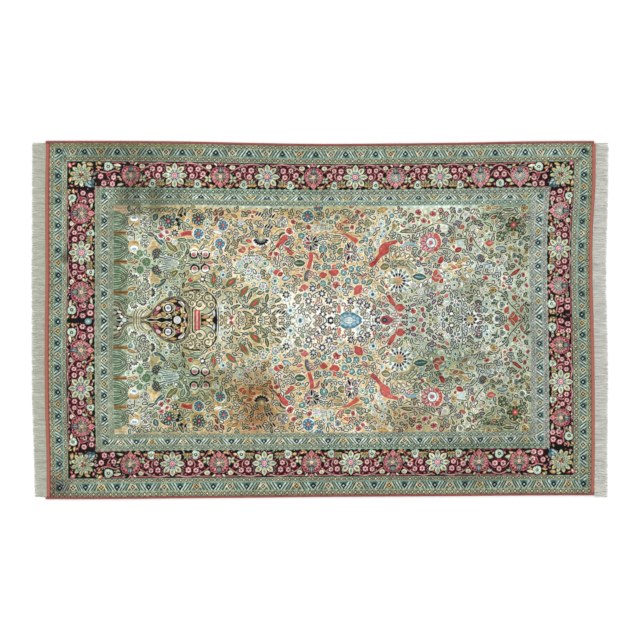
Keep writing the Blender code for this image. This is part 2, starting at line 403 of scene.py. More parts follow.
def drawTents(design, outer, inner):
    # a zigzag of lines with a blue lozenge under each peak and a brown one over each foot
    for side in sides:
        pen, half, _ = sideFrame(design, side, outer, inner)
        flip = -1 if side in ("right", "front") else 1
        marks, places = zip(*tentPlan[outer][side])
        stands = np.interp(np.arange(marks[-1] + 1), marks, places) * flip
        rise = (half * 0.88) * (1 if side in ("back", "front") else -1)
        for k, stand in enumerate(stands):
            for other in (k - 1, k + 1):
                if k % 2 or not 0 <= other < len(stands):
                    continue
                step = abs(stands[other] - stand)
                cell = pen.at(stand, 0, hand=1 if stands[other] > stand else -1)
                for first, last, width, colour in slants["long" if side in ("back", "front") else "short"]:
                    if colour == "bandPale" and outer == "tents1":
                        colour = "frost"
                    cell.line([(first * step / 56, rise), (last * step / 56, -rise)],
                              width * min(1, step / 50), colour)
        for k, stand in enumerate(stands):
            cell = pen.at(stand, 0)
            high = abs(rise)
            if k % 2 == 0:
                cell.fill([(-14, -rise), (14, -rise), (3, rise * 0.9), (-3, rise * 0.9)], "deepBand")
                for x, y in ((-5.6, 0), (5.6, 0), (0, -0.46), (0, 0.46)):
                    cell.fill(lozenge(x, y * high, 5.0, high * 0.44), "night")
                cell.fill(lozenge(0, 0, 3.4, 3.4), "mist")
            else:
                cell.fill(lozenge(0, 0, 13, high + 0.6), "cream" if k % 3 else "straw")
                for x, y in ((-4.9, 0), (4.9, 0), (0, -0.42), (0, 0.42)):
                    cell.fill(lozenge(x, y * high, 3.9, high * 0.36), "umber")
                cell.fill(lozenge(0, 0, 2.8, 2.8), "cream")


def palmette(pen, pale=False):
    # a shield with a lobed rim, its tip towards the field and a blue bud at its foot
    rim = [(0, 36), (4, 31), (9, 29), (15, 31), (19, 27), (25, 26), (26, 19), (31, 14), (29, 6),
           (32, -1), (28, -8), (27, -15), (21, -19), (17, -26), (11, -29), (6, -35), (0, -42)]
    shape = np.array(rim + [(-x, y) for x, y in rim[-2:0:-1]], float)
    pen.fill(shape, "pinkSilk" if pale else "rose", "ink", 2.4)
    pen.fill(grown(shape, -3.2), "maroon")
    pen.fill([(-19, -8), (19, -8), (10, -27), (0, -38), (-10, -27)], "rose" if pale else "crimson")
    for k in range(16):
        turn = 122 + 296 / 15 * k
        far = 21.5 + 6 * max(0.0, -math.sin(math.radians(turn))) ** 3
        lobe = pen.at(0, -1, turn)
        lobe.fill(blade(12.5, 6.4, 0, far - 5.5), "blush" if pale or k % 3 == 1 else "pinkSilk", "maroon",
                  1.2)
        lobe.fill(blade(6.5, 2.6, 0, far - 2.4), "crimson" if not pale and abs(turn - 270) < 70 else "rose")
    pen.fill(oval(0, -1, 17, 18, sides=20), "mauve" if pale else "maroon")
    for k in range(14):
        petal = pen.at(0, -1, 90 + 360 / 14 * k)
        petal.fill(blade(16, 5.6, 0, 3.6), ("stone", "blush", "sage")[k % 3] if not pale else "frost",
                   "night", 1.0)
        petal.fill(blade(7.5, 2.0, 0, 9.0), ("moss", "mauve", "slate")[k % 3])
    pen.blade(0, -20, -90, 19, 8, "red" if not pale else "rose", "blush", 1.4)
    pen.blade(0, -22, -90, 11, 2.6, "blush")
    pen.fill([(0, 35), (6, 27), (9, 18), (7, 9), (-7, 9), (-9, 18), (-6, 27)], "night")
    for turn, length, colour in ((66, 17, "stone"), (114, 17, "stone"), (90, 24, "slate")):
        pen.blade(0, 10, turn, length, 6.4, colour, "deepTeal", 1.0)
    pen.blade(0, 13, 90, 15, 2.0, "mist")
    pen.fill(oval(0, -1, 5.8, 5.8, sides=12), "cream", "maroon", 1.2)
    pen.fill(oval(0, -1, 3.2, 3.2, sides=10), "apricot")
    pen.line([(-8, 46), (-3, 41), (0, 36)], 2.6, "pinkSilk")
    pen.line([(8, 46), (3, 41), (0, 36)], 2.6, "pinkSilk")


def petalRing(pen, count, radius, length, width, outside, inside, edge="night", turn=0.0, core="cream"):
    # pointed petals set about a middle, each with its own inner leaf
    for k in range(count):
        petal = pen.at(0, 0, turn + 360 / count * k)
        shape = [(radius - length * 0.5, -width * 0.32), (radius - length * 0.05, -width * 0.52),
                 (radius + length * 0.28, -width * 0.4), (radius + length * 0.56, 0),
                 (radius + length * 0.28, width * 0.4), (radius - length * 0.05, width * 0.52),
                 (radius - length * 0.5, width * 0.32)]
        petal.fill(shape, outside, edge, 1.8)
        petal.fill(blade(length * 0.8, width * 0.6, 0, radius - length * 0.36), inside if k % 2 else core)
        petal.fill(blade(length * 0.42, width * 0.22, 0, radius - length * 0.2), "moss" if k % 2 else "olive")


def rosette(pen):
    # eight pale petals round a rose heart
    petalRing(pen, 8, 24.5, 22.5, 15.5, "cream", "sage", "ink", core="celadon")
    pen.disc(17.0, "night", sides=20)
    for k in range(8):
        petal = pen.at(0, 0, 45 * k)
        petal.fill(oval(13.2, 0, 4.4, 4.0, sides=10), "mist")
        petal.fill(oval(13.6, 0, 2.0, 1.7, sides=8), "slate")
        pen.at(0, 0, 45 * k + 22.5).fill(oval(17.5, 0, 2.8, 2.0, sides=8), "celadon")
    pen.disc(10.2, "maroon")
    pen.disc(8.4, "blush")
    pen.fill(scallops(6, 4.0, 5.6), "rose")
    pen.disc(2.6, "cream", sides=10)


def cornerFlower(pen):
    # a full, slightly twisted flower of pale petals
    petalRing(pen, 11, 29, 22, 13.5, "sage", "straw", turn=8, core="cream")
    petalRing(pen, 9, 18, 17, 10.5, "mint", "celadon", "moss", 24, "stone")
    for k in range(7):
        pen.at(0, 0, 51.4 * k + 10).fill(oval(9.5, 0, 5.0, 3.2, 18, 10), "cream", "husk", 1.3)
    pen.fill(oval(-2, -2, 9.6, 8.2, 20, 12), "umber")
    for k in range(6):
        pen.at(-2, -2, 60 * k + 15).fill(blade(9, 3.2, 0.8, 1.5), ("rust", "blush")[k % 2], "bark", 0.8)
    pen.blade(9, -7, -40, 13, 5, "amber", "bark", 1.0)
    for x, y, turn, length, width, colour in ((-38, 30, 120, 20, 13, "rose"), (-30, 36, 20, 18, 8, "crimson"),
                                              (22, 36, -8, 24, 12, "gold"), (4, 40, 10, 16, 7, "sage"),
                                              (-38, -20, 70, 22, 9, "gold"), (-30, -37, 160, 14, 7, "rose"),
                                              (34, 6, 60, 16, 7, "rose"), (-40, 8, 90, 16, 6, "olive")):
        pen.at(x, y, turn).fill(blade(length, width, 1.0, -length * 0.3), colour, "wine", 1.5)
        pen.blade(x, y, turn, length * 0.5, width * 0.3, "cream", start=-length * 0.1)
    # pale blue curls towards the inner corner
    for x, y, turn, length, width, colour in ((27, -27, -45, 26, 9, "sky"), (20, -36, -20, 26, 9, "mist"),
                                              (36, -20, -75, 22, 9, "slate"), (34, -36, -45, 16, 8, "teal"),
                                              (16, -30, -60, 16, 7, "mist")):
        pen.at(x, y, turn).fill(blade(length, width, 2.0, -length * 0.4), colour, "navy", 1.6)


# The main border from a palmette's middle to the next rosette's, and to a corner or a mirror line.
# Places run along the border from the palmette and outwards from its middle line, in millimetres.
mainBorder = dict(
    longRun=157.0,
    shortRun=100.0,
    halfWidth=43.5,
    back=dict(palmettes=(-641, -338, -23, 255, 541, 674), rosettes=(-493, -180, 118, 404),
              corners=(-809, 820)),
    front=dict(palmettes=(-646, -345, -31, 245, 537, 674), rosettes=(-503, -191, 103, 397),
               corners=(-809, 815)),
    left=dict(palmettes=(-357, -101, 94, 358), rosettes=(-229, 226), corners=(-484, 484)),
    right=dict(palmettes=(-337, -91, 111, 366), rosettes=(-215, 238), corners=(-480, 490)),
)
longFlorets = ((60, 5, 9.6), (77, 21, 8.8), (103, 20, 9.6), (97, -2, 9.2))
shortFlorets = ((46, -8, 9.2), (49, -30, 9.2), (72, -28, 9.4), (81, -5, 9.0))


def crownLeaf(pen, size, leafColour, baseColour):
    # pointed leaves standing in a crown over a warm base
    for turn, length in ((150, 0.75), (120, 1.0), (90, 1.15), (60, 1.0), (30, 0.75)):
        pen.blade(0, 0, turn, size * length, size * 0.34, leafColour, "night", 1.5)
        pen.blade(0, 0, turn, size * length * 0.6, size * 0.12, "olive", start=size * 0.2)
    for turn in (168, 12):
        pen.blade(0, 0, turn, size * 0.8, size * 0.32, baseColour, "night", 1.5)
    pen.blade(0, -size * 0.1, 90, size * 0.5, size * 0.3, baseColour, "bark", 1.2)


def smallLeaf(pen, length, width, colour):
    pen.fill(blade(length, width, 1.2), colour, "night", 1.5)
    pen.fill(blade(length * 0.6, width * 0.3, 0.8, length * 0.2), "cream")


def stretched(pen, sx, sy, size):
    # how a run of the border places its motifs, and its lines, when it is a little longer or shorter
    def spot(x, y, turn=0.0):
        return pen.at(x * sx, y * sy, turn, min(1.0, size))

    def scaled(points):
        return [(x * sx, y * sy) for x, y in points]

    return spot, scaled


def drawLongRun(pen, sx, sy):
    spot, scaled = stretched(pen, sx, sy, sx * 1.06)
    pen.fill(through(scaled([(46, 8), (56, 24), (80, 34), (112, 34), (118, 24), (116, 8), (110, -4),
                             (98, -12), (74, -10), (56, -4)]), 4), "burgundy")
    for points, width, colour in (([(4, 41), (40, 40), (90, 41), (148, 39)], 3.2, "rose"),
                                  ([(30, 10), (44, 20), (62, 30), (84, 38), (110, 41), (140, 36)], 4.4,
                                   "pinkSilk"),
                                  ([(30, -41), (36, -36), (44, -24), (56, -14), (72, -11), (94, -15),
                                    (112, -22)], 3.4, "rose"),
                                  ([(84, 12), (80, 4), (84, -6), (90, -12)], 3.2, "pinkSilk"),
                                  ([(110, -22), (122, -10), (126, 6), (118, 16)], 3.2, "mauve"),
                                  ([(60, 26), (70, 18), (84, 14), (96, 12)], 3.0, "pinkSilk"),
                                  ([(116, 28), (122, 20), (132, 14), (142, 18)], 2.8, "mauve")):
        pen.line(scaled(points), width, colour, "wine", 1.5)
    for x, y, radius in longFlorets:
        flower(spot(x, y), radius, "floret")
    flower(spot(78, -28), 14.0, "lobe")
    bud = spot(40, 29)
    bud.fill(oval(0, 0, 9.5, 8.0), "cream", "night", 1.8)
    for x, y in ((-4, 2), (4, 1), (0, -4), (1, 5)):
        bud.fill(oval(x, y, 2.0, 1.6, 0, 8), "olive")
    bud.fill(oval(0, 1, 1.6, 1.6, sides=6), "night")
    trefoil = spot(42, -12, 20)
    for turn, length, width in ((100, 27, 12), (20, 17, 9), (190, 14, 9), (300, 15, 8)):
        smallLeaf(trefoil.at(0, 0, turn), length, width, "sage")
    crownLeaf(spot(106, -32), 22, "sage", "gold")
    for x, y, turn, length, width, colour in (
            (48, -31, 10, 17, 12, "amber"), (14, -33, -24, 22, 10, "gold"), (24, -37, 30, 16, 7, "apricot"),
            (130, -36, 12, 24, 6, "rose"), (124, 24, 80, 14, 7, "stone"), (12, 33, 40, 14, 6, "cream"),
            (62, 36, 8, 18, 5, "stone"), (20, 26, -40, 12, 6, "sage"), (60, -5, -30, 14, 6, "apricot"),
            (114, 4, 60, 10, 5, "mauve"), (68, 10, 40, 8, 5, "mauve"),
            (126, -6, -60, 14, 6, "apricot"), (134, 28, -20, 12, 6, "rose"), (136, -26, 40, 14, 6, "sage")):
        smallLeaf(spot(x, y, turn), length, width, colour)
    for x, y in ((146, 30), (134, 6), (148, -32), (88, 34), (112, 34), (6, 38), (66, -20), (92, -22)):
        spot(x, y).fill(oval(0, 0, 3.4, 2.9, sides=8), "rose", "wine", 1.2)
    for x, y in ((113, -8), (48, 14), (72, 4), (90, 12), (124, 30)):
        spot(x, y).fill(oval(0, 0, 2.4, 4.0, 20, 8), "crimson")


def drawShortRun(pen, sx, sy):
    spot, scaled = stretched(pen, sx, sy, sx * 1.02 + 0.05)
    pen.fill(through(scaled([(38, 0), (42, -34), (60, -40), (86, -36), (92, -8), (82, 6), (56, 8)]), 4),
             "wine")
    for points, width, colour in (([(6, -42), (40, -42), (94, -40)], 3.2, "rose"),
                                  ([(30, 10), (44, 14), (60, 8), (78, 10), (94, 14)], 3.6, "pinkSilk"),
                                  ([(60, 10), (62, -6), (56, -18), (62, -30)], 3.0, "pinkSilk"),
                                  ([(20, 41), (60, 42), (94, 41)], 3.0, "rose"),
                                  ([(36, -14), (44, -20), (58, -20), (76, -16)], 2.8, "mauve")):
        pen.line(scaled(points), width, colour, "wine", 1.4)
    for x, y, radius in shortFlorets:
        flower(spot(x, y), radius, "floret")
    spot(60, 2).fill(oval(0, 0, 5.4, 4.2, 0, 10), "crimson", "rose", 1.8)
    flower(spot(61, 28), 14.0, "lobe")
    for x, y, turn, length, width, colour in (
            (34, 14, 60, 16, 10, "gold"), (78, 36, 20, 20, 10, "gold"), (78, 22, 10, 20, 9, "apricot"),
            (26, 30, 8, 26, 9, "cream"), (18, -30, -10, 24, 9, "sage"), (84, 10, 60, 16, 7, "coral"),
            (28, 22, -30, 14, 7, "stone"), (28, -10, 20, 14, 7, "sage"), (40, 4, -20, 12, 6, "rose"),
            (92, 30, 80, 14, 7, "olive"), (12, 38, 10, 16, 6, "rose"), (24, -20, 40, 14, 7, "apricot")):
        smallLeaf(spot(x, y, turn), length, width, colour)


def drawKnot(pen):
    # between two palmettes that stand close together; x from the middle of the gap
    pen.fill(through([(-34, 6), (-20, 28), (0, 36), (20, 28), (34, 6), (16, -14), (-16, -14)], 4), "burgundy")
    for hand in (-1, 1):
        half = pen.at(0, 0, hand=hand)
        for points, width, colour in (([(0, 40), (18, 34), (32, 22), (42, 10)], 3.4, "pinkSilk"),
                                      ([(2, 12), (12, 18), (24, 12), (34, -2)], 3.0, "pinkSilk"),
                                      ([(6, -42), (30, -41), (60, -42)], 3.0, "rose"),
                                      ([(10, 41), (34, 41), (60, 41)], 3.0, "rose")):
            half.line(points, width, colour, "wine", 1.4)
        flower(half.at(13, 5), 9.0, "floret")
        for x, y, turn, length, width, colour in (
                (18, -14, -12, 24, 12, "sage"), (30, -30, 10, 18, 9, "gold"), (16, -32, 60, 10, 6, "rose"),
                (22, 26, 10, 18, 10, "celadon"), (40, 30, 30, 14, 8, "gold"), (40, -12, -50, 12, 6, "stone")):
            smallLeaf(half.at(x, y, turn), length, width, colour)
    flower(pen.at(0, 23), 8.4, "floret")
    pen.fill(oval(0, -6, 4.6, 6, 0, 10), "crimson", "rose", 1.8)
    flower(pen.at(0, -25), 13.0, "lobe")


def fillBetween(design, bare, areas, sizes, colours, chance):
    # small leaves and dots wherever a band still shows its bare ground
    pen = Pen(design)
    for left, low, right, high in areas:
        for reach, tries in sizes:
            for _ in range(int(tries * (right - left) * (high - low) / 1e5)):
                u, v = chance.uniform(left + reach, right - reach), chance.uniform(low + reach, high - reach)
                _, _, a, b, c, d = design.window(np.array([(u - reach, v - reach), (u + reach, v + reach)]))
                if np.abs(design.ink[c:d, a:b] - bare).max(2).mean() > 8:
                    continue
                mark = pen.at(u, v, chance.uniform(0, 360))
                if reach < 3:
                    mark.disc(1.7, chance.choice(("rose", "cream")), sides=6)
                else:
                    mark.fill(blade(reach * 2.1, reach * 0.95, 1.0, -reach), chance.choice(colours),
                              "night", 1.0)
                    mark.fill(blade(reach * 1.0, reach * 0.3, 0.5, -reach * 0.5), "husk")


def drawMainBorder(design):
    design.fill(bandBox("main"), "navy")
    for side in sides:
        pen, half, _ = sideFrame(design, side, "main", "guard3")
        flip = -1 if side in ("right", "front") else 1
        plan = mainBorder[side]
        palmettes = sorted(flip * p for p in plan["palmettes"])
        rosettes = [flip * r for r in plan["rosettes"]]
        corners = [flip * c for c in plan["corners"]]
        stops = sorted([(p, "palmette") for p in palmettes] + [(r, "rosette") for r in rosettes]
                       + [(c, "corner") for c in corners])
        sy = half / mainBorder["halfWidth"]
        for (a, first), (b, second) in zip(stops, stops[1:]):
            for here, there, kind, other in ((a, b, first, second), (b, a, second, first)):
                if kind != "palmette":
                    continue
                run = pen.at(here, 0, hand=1 if there > here else -1)
                if other == "rosette":
                    drawLongRun(run, abs(there - here) / mainBorder["longRun"], sy)
                elif other == "palmette" and abs(there - here) < 150:
                    drawKnot(pen.at((here + there) / 2, 0, size=sy))
                else:
                    room = abs(there - here) / 2 if other == "palmette" else abs(there - here) - 42
                    turned = -1 if other == "palmette" and side == "right" else 1
                    drawShortRun(run, room / mainBorder["shortRun"], sy * turned)
        for p in palmettes:
            palmette(pen.at(p, 0, size=sy), pale=(side == "back" and p > 200) or (side == "right" and p < 0))
        for r in rosettes:
            rosette(pen.at(r, 0, size=1.14))
    left, right, back, front = [(a + b) / 2 for a, b in zip(bands["main"], bands["guard3"])]
    for u, v, turn in ((left, back, 0), (right, back, -90), (right, front, 180), (left, front, 90)):
        cornerFlower(Pen(design, u, v, turn))
    outer, inner = (bands[name] for name in ("main", "guard3"))
    areas = ((outer[0], inner[2], outer[1], outer[2]), (outer[0], outer[3], outer[1], inner[3]),
             (outer[0], inner[3], inner[0], inner[2]), (inner[1], inner[3], outer[1], inner[2]))
    fillBetween(design, np.array(silk["navy"]), areas, ((7.5, 1500), (5.0, 2000), (2.6, 1200)),
                ("blush", "gold", "sage", "apricot", "celadon", "rose", "cream", "straw"), random.Random(3))
    pen = Pen(design)
    pen.fill(box(-853, -10, -794, 6), "navy")
    pen.fill(oval(-783, -4, 12, 10), "aqua", "night", 1.5)
    pen.fill(oval(-783, -4, 6, 5), "mist")


def drawBorders(design):
    design.fill(bandBox("woven"), "edge")
    design.fill(bandBox("guard1"), "guard")
    design.fill(bandBox("tents1", 1.2), "celadon")
    design.fill(bandBox("tents1"), "band")
    design.fill(bandBox("guard2", 1.0), "celadon")
    design.fill(bandBox("guard2"), "guard")
    drawGuard(design, "guard1", "tents1")
    drawTents(design, "tents1", "guard2")
    drawGuard(design, "guard2", "main", rim="aqua")
    design.fill(bandBox("main", 3.4), "celadon")
    design.fill(bandBox("main", 1.6), "deepTeal")
    drawMainBorder(design)
    design.fill(bandBox("guard3", 2.2), "deepTeal")
    design.fill(bandBox("guard3", 0.4), "celadon")
    design.fill(bandBox("guard3", -1.8), "guardGreen")
    design.fill(bandBox("tents2", 1.2), "celadon")
    design.fill(bandBox("tents2"), "band")
    design.fill(bandBox("guard4", 1.0), "celadon")
    design.fill(bandBox("guard4"), "guardGreen")
    drawGuard(design, "guard3", "tents2", "deepTeal", "guardFrost", "guardGreen", "celadon")
    drawTents(design, "tents2", "guard4")
    drawGuard(design, "guard4", "field", "deepTeal", "guardFrost", "guardGreen", "celadon")
    design.fill(bandBox("field", 2.0), "teal")
    design.fill(bandBox("field"), "straw")


print("border drawing ready")

# The field's ground: soft areas of dyed silk, each with its place, reach, colour and strength; a
# second strength is for the same area across the middle line
grounds = (
    (-480, 330, 200, 90, "honey", 0.9), (-230, 320, 300, 120, "honey", 1.0),
    (40, 320, 190, 110, "honey", 0.7), (-480, -330, 200, 90, "honey", 0.8),
    (-200, -300, 360, 160, "honey", 1.0), (40, -320, 220, 120, "honey", 0.9),
    (150, 170, 170, 150, "honey", 0.85, 0.85), (-60, 130, 260, 120, "honey", 0.45, 0.5),
    (-380, 120, 120, 60, "honey", 0.5, 0.5), (-90, 0, 260, 110, "cream", 0.95),
    (-240, 170, 110, 60, "cream", 0.8, 0.7), (-330, 0, 50, 110, "frost", 1.0),
    (-110, 250, 90, 60, "apricot", 0.5), (-110, -250, 110, 70, "apricot", 0.5),
    (-280, -320, 160, 90, "amber", 0.45), (-480, -310, 130, 110, "olive", 0.5),
    (-670, 0, 110, 420, "meadow", 1.0), (-600, 330, 110, 100, "meadow", 0.9, 0.7),
    (-600, 180, 90, 110, "frost", 0.7, 0.7), (-500, 80, 120, 60, "meadow", 0.6, 0.6),
    (-480, 190, 130, 70, "meadow", 0.9, 0.9), (-560, 245, 34, 26, "honey", 1.0, 1.0),
    (-560, 138, 34, 24, "honey", 1.0, 1.0), (-600, -350, 110, 60, "amber", 0.35),
    (520, 0, 280, 430, "meadow", 1.0), (640, 0, 210, 430, "frost", 0.8),
    (340, 330, 150, 90, "frost", 1.0), (340, -330, 150, 90, "meadow", 0.8),
    (470, 340, 150, 80, "frost", 1.0), (650, 350, 190, 130, "celadon", 0.9),
    (650, 330, 110, 80, "moss", 0.22), (650, -350, 190, 130, "celadon", 0.8),
    (650, -330, 110, 80, "moss", 0.14), (560, 205, 50, 50, "honey", 0.6, 0.6),
    (510, 55, 30, 40, "honey", 0.6), (450, 175, 60, 40, "honey", 0.7, 0.7),
    (120, 0, 160, 100, "chalk", 0.95), (-60, 0, 200, 150, "chalk", 0.7),
    (240, 0, 110, 110, "mist", 0.7), (520, 210, 40, 70, "frost", 1.0, 1.0),
    (400, 60, 110, 60, "sky", 0.4), (400, -60, 120, 60, "mist", 0.5),
)
# Boughs of gold silk: their places and widths
boughs = (
    (((168, 60), (166, 110), (168, 160), (160, 205), (150, 250), (120, 282), (70, 302), (10, 300)), 8),
    (((166, 120), (196, 138), (230, 142), (262, 134)), 8),
    (((168, 110), (140, 100), (100, 104), (70, 96)), 6),
    (((150, 250), (180, 270), (200, 300), (190, 330)), 5),
    (((120, 282), (96, 320), (80, 350), (66, 362)), 6),
    (((-60, 330), (-90, 300), (-90, 260), (-130, 230), (-150, 190)), 7),
    (((-130, 230), (-170, 240), (-200, 230)), 5),
    (((-560, 370), (-480, 360), (-400, 368), (-330, 370), (-200, 366)), 7),
    (((-390, 380), (-372, 340), (-374, 300)), 10), (((-374, 300), (-360, 260), (-376, 230)), 7),
    (((200, 60), (210, 90), (240, 110)), 6),
    (((330, 180), (360, 206), (400, 186), (450, 186), (500, 196)), 6),
)


def bud(pen, length):
    # a leaf with a bright spindle along it
    pen.fill(grown(blade(length, length * 0.42), 2.6), "cream")
    pen.fill(blade(length, length * 0.4), "leaf", "bark", 1.2)
    pen.fill(blade(length * 0.62, length * 0.2, 0, length * 0.2), "red", "maroon", 1.0)
    pen.line([(length * 0.25, 0), (length * 0.5, 1.2), (length * 0.78, 0)], 1.4, "apricot")


def wedgeFan(pen, count, inner, outer, spread):
    # striped petals standing in a fan about +x
    pen.fill(np.vstack(([(-3, 0)], scallops(count, outer * 1.02, outer * 1.2, -spread - 8, spread + 8))),
             "chalk")
    for k in range(count):
        turn = -spread + 2 * spread * (k + 0.5) / count
        pen.blade(0, 0, turn, outer - inner, (outer + inner) * 0.24, "ink", start=inner)
        pen.blade(0, 0, turn, (outer - inner) * 0.5, outer * 0.07, "mist", start=inner)
    pen.disc(inner * 1.1, "sage", "bark", 1.2, sides=12)
    pen.disc(inner * 0.5, "cream", sides=8)


def moonBulb(pen, radius):
    # a pale round lying in a gold crescent that opens to +x
    pen.fill(oval(0, 0, radius * 1.5, radius * 1.3), "cream")
    pen.fill(oval(-radius * 0.45, 0, radius * 0.7, radius, 0), "gold", "amber", 1.4)
    pen.fill(oval(-radius * 0.1, 0, radius * 0.55, radius * 0.85, 0), "straw")
    pen.fill(oval(radius * 0.35, 0, radius * 0.6, radius * 0.85, 0), "white", "slate", 1.2)
    pen.fill(oval(radius * 0.5, 0, radius * 0.25, radius * 0.5, 0, 10), "sky")


def cupFlower(pen, radius):
    # a dark cup that opens to +x round a rose heart
    pen.fill(oval(3, 0, radius * 1.3, radius * 1.3), "ivory")
    pen.fill(scallops(5, radius * 0.9, radius * 1.15, -90, 90), "moss")
    pen.fill(scallops(5, radius * 0.72, radius * 0.95, -90, 90), "chalk")
    pen.fill(ribbon([(radius * 0.3, radius), (-radius * 0.45, radius * 0.85), (-radius * 0.85, radius * 0.35),
                     (-radius * 0.85, -radius * 0.35), (-radius * 0.45, -radius * 0.85),
                     (radius * 0.3, -radius)], 6.6), "ink")
    pen.fill(oval(-radius * 0.1, 0, radius * 0.5, radius * 0.55, sides=12), "rose", "chalk", 2.0)
    pen.fill(oval(radius * 0.1, 0, radius * 0.24, radius * 0.24, sides=8), "sand")


def scaleRound(pen, radius, petal, shade):
    # a round of overlapping petals in dark outlines
    pen.disc(radius * 1.14, "ivory")
    pen.disc(radius, "bark")
    for count, near, length in ((11, 0.5, 0.48), (7, 0.14, 0.44)):
        for k in range(count):
            turned = pen.at(0, 0, 360 / count * (k + near))
            turned.fill(blade(radius * length, radius * (0.42 if count > 8 else 0.36), 0, radius * near),
                        (petal, "chalk", shade)[k % 3], "bark", 1.4)
    pen.disc(radius * 0.16, "cream", sides=8)


def openFlower(pen, radius, dark, heart):
    # dark and pale petals by turns, with no halo between them and the ground
    for k in range(8):
        pen.blade(0, 0, 45 * k + 22, radius * 0.86, radius * 0.4, "cream", "bark", 1.8, start=radius * 0.16)
    for k in range(8):
        petal = pen.at(0, 0, 45 * k)
        petal.fill(blade(radius * 0.86, radius * 0.46, 0, radius * 0.14),
                   (dark, "slate", dark, "moss")[k % 4], "night", 1.6)
        petal.fill(blade(radius * 0.4, radius * 0.12, 0, radius * 0.42), "mist")
    pen.disc(radius * 0.26, heart, "maroon", 1.4, sides=12)
    pen.disc(radius * 0.1, "blush", sides=8)


def bird(pen, tail, body, back, dye="red", back2="coral"):
    # drawn from its tail's, body's and back's outlines in field places
    tail = np.array(tail, float)
    for rim, tint in ((3.2, "cream"), (1.5, "maroon")):
        pen.fill(grown(through(body, 3), rim), tint)
        pen.fill(grown(tail, rim), tint)
    pen.fill(tail, "brick")
    pen.fill(through(body, 3), dye)
    pen.fill(through(back, 3), back2)
    rim = through(body, 3)
    middle = rim.mean(0)
    for k in range(2, len(rim) - 2, 4):
        near = middle * 0.35 + rim[k] * 0.65
        pen.line([near, near * 0.6 + rim[k] * 0.4], 1.8, "maroon" if k % 8 < 4 else "blush")
    for k in range(0, len(tail) - 1, 2):
        pen.line([tail[k] * 0.7 + tail.mean(0) * 0.3, tail.mean(0)], 1.6, "maroon")


def darkPalmette(pen, radius, stretch, spokes):
    # slender rose and grey petals fanned out from a red heart, with long black ones among them
    def reach(turn):
        return radius * stretch / math.hypot(stretch * math.cos(math.radians(turn)),
            math.sin(math.radians(turn)))

    pen.fill(oval(0, 0, radius * 1.12, radius * stretch * 1.08, sides=24), "ivory")
    for k in range(17):
        turn = 360 / 17 * k
        far = reach(turn)
        petal = pen.at(0, 0, turn)
        petal.fill(blade(far * 0.64, far * 0.26, 0, far * 0.38), ("stone", "rose", "slate", "blush")[k % 4],
                   "night", 1.5)
        petal.fill(blade(far * 0.26, far * 0.08, 0, far * 0.62), ("ivory", "cream", "mist", "maroon")[k % 4])
    for turn, length, width in spokes:
        pen.blade(0, 0, turn, reach(turn) * length, width, "ink", "ivory", 1.4, start=reach(turn) * 0.24)
    pen.fill(blade(radius * 1.0, radius * 0.42, 0, -radius * 0.8), "crimson", "ivory", 1.8)
    pen.fill(blade(radius * 0.5, radius * 0.18, 0, -radius * 0.5), "rose")
    pen.fill(oval(radius * 0.1, 0, radius * 0.16, radius * 0.14), "celadon", "bark", 1.4)


def fanFlower(pen, radius):
    # a great open flower: black wedges about a warm heart, teal lobes on its far side
    pen.fill(scallops(11, radius * 1.12, radius * 1.3), "ivory")
    for k in range(11):
        petal = pen.at(0, 0, -125 + 25 * k)
        petal.fill(drop(radius * 0.5, radius * 0.2, radius * 0.76), "aqua" if k % 2 else "blue", "deepTeal",
                   1.0)
        petal.fill(oval(radius * 0.9, 0, radius * 0.1, radius * 0.09, 0, 8), "mist")
    for k in range(5):
        pen.at(0, 0, 150 + 15 * k).fill(drop(radius * 0.4, radius * 0.14, radius * 0.72), "sage", "moss", 1.2)
    pen.disc(radius * 0.84, "chalk", sides=24)
    for k in range(11):
        wedge = pen.at(0, 0, -125 + 25 * k)
        wedge.fill([(radius * 0.4, -0.8), (radius * 0.74, -4.4), (radius * 0.86, 0), (radius * 0.74, 4.4),
                    (radius * 0.4, 0.8)], "ink")
    pen.fill(oval(-radius * 0.3, 0, radius * 0.68, radius * 0.36, sides=20), "sage", "chalk", 2.0)
    pen.fill(oval(radius * 0.02, 0, radius * 0.36, radius * 0.4, sides=16), "apricot", "straw", 2.2)
    pen.fill(oval(-radius * 0.6, 0, radius * 0.3, radius * 0.26, 0, 12), "sage", "leaf", 1.6)
    for x in (-0.26, -0.06, 0.12):
        pen.line([(radius * x, -radius * 0.14), (radius * x, radius * 0.14)], 1.6, "moss", "cream", 1.4)


def peony(pen, radius):
    # long rose petals to the left, a white heart and a coral crescent to the right
    pen.fill(oval(-2, 0, radius * 1.12, radius * 1.08, sides=24), "ivory")
    for k in range(13):
        turn = 62 + 236 / 12 * k
        petal = pen.at(0, 0, turn)
        petal.fill(blade(radius * 0.72, radius * 0.3, 0, radius * 0.34), "blush" if k % 2 else "rose",
                   "maroon", 1.4)
        petal.fill(blade(radius * 0.34, radius * 0.1, 0, radius * 0.56), "rose" if k % 2 else "ivory")
    for turn in (100, 150, 206, 255, 300):
        pen.blade(0, 0, turn, 9, 5, "ink", "ivory", 1.2, start=radius * 0.94)
    pen.fill(ribbon([(10, -27), (22, -20), (29, 0), (22, 20), (10, 27)], 13.0), "coral", "cream", 1.6)
    pen.fill(ribbon([(14, -20), (23, -12), (26, 0), (23, 12), (14, 20)], 5.0), "red")
    for y in (-15, -6, 5, 14):
        pen.fill(oval(27 - abs(y) * 0.2, y, 2.6, 1.8, 0, 8), "blush")
    pen.fill(oval(0, 0, radius * 0.42, radius * 0.46, sides=18), "white", "slate", 2.4)
    pen.fill(scallops(8, radius * 0.24, radius * 0.34), "mist")
    pen.disc(radius * 0.17, "rose", "maroon", 1.2, sides=10)


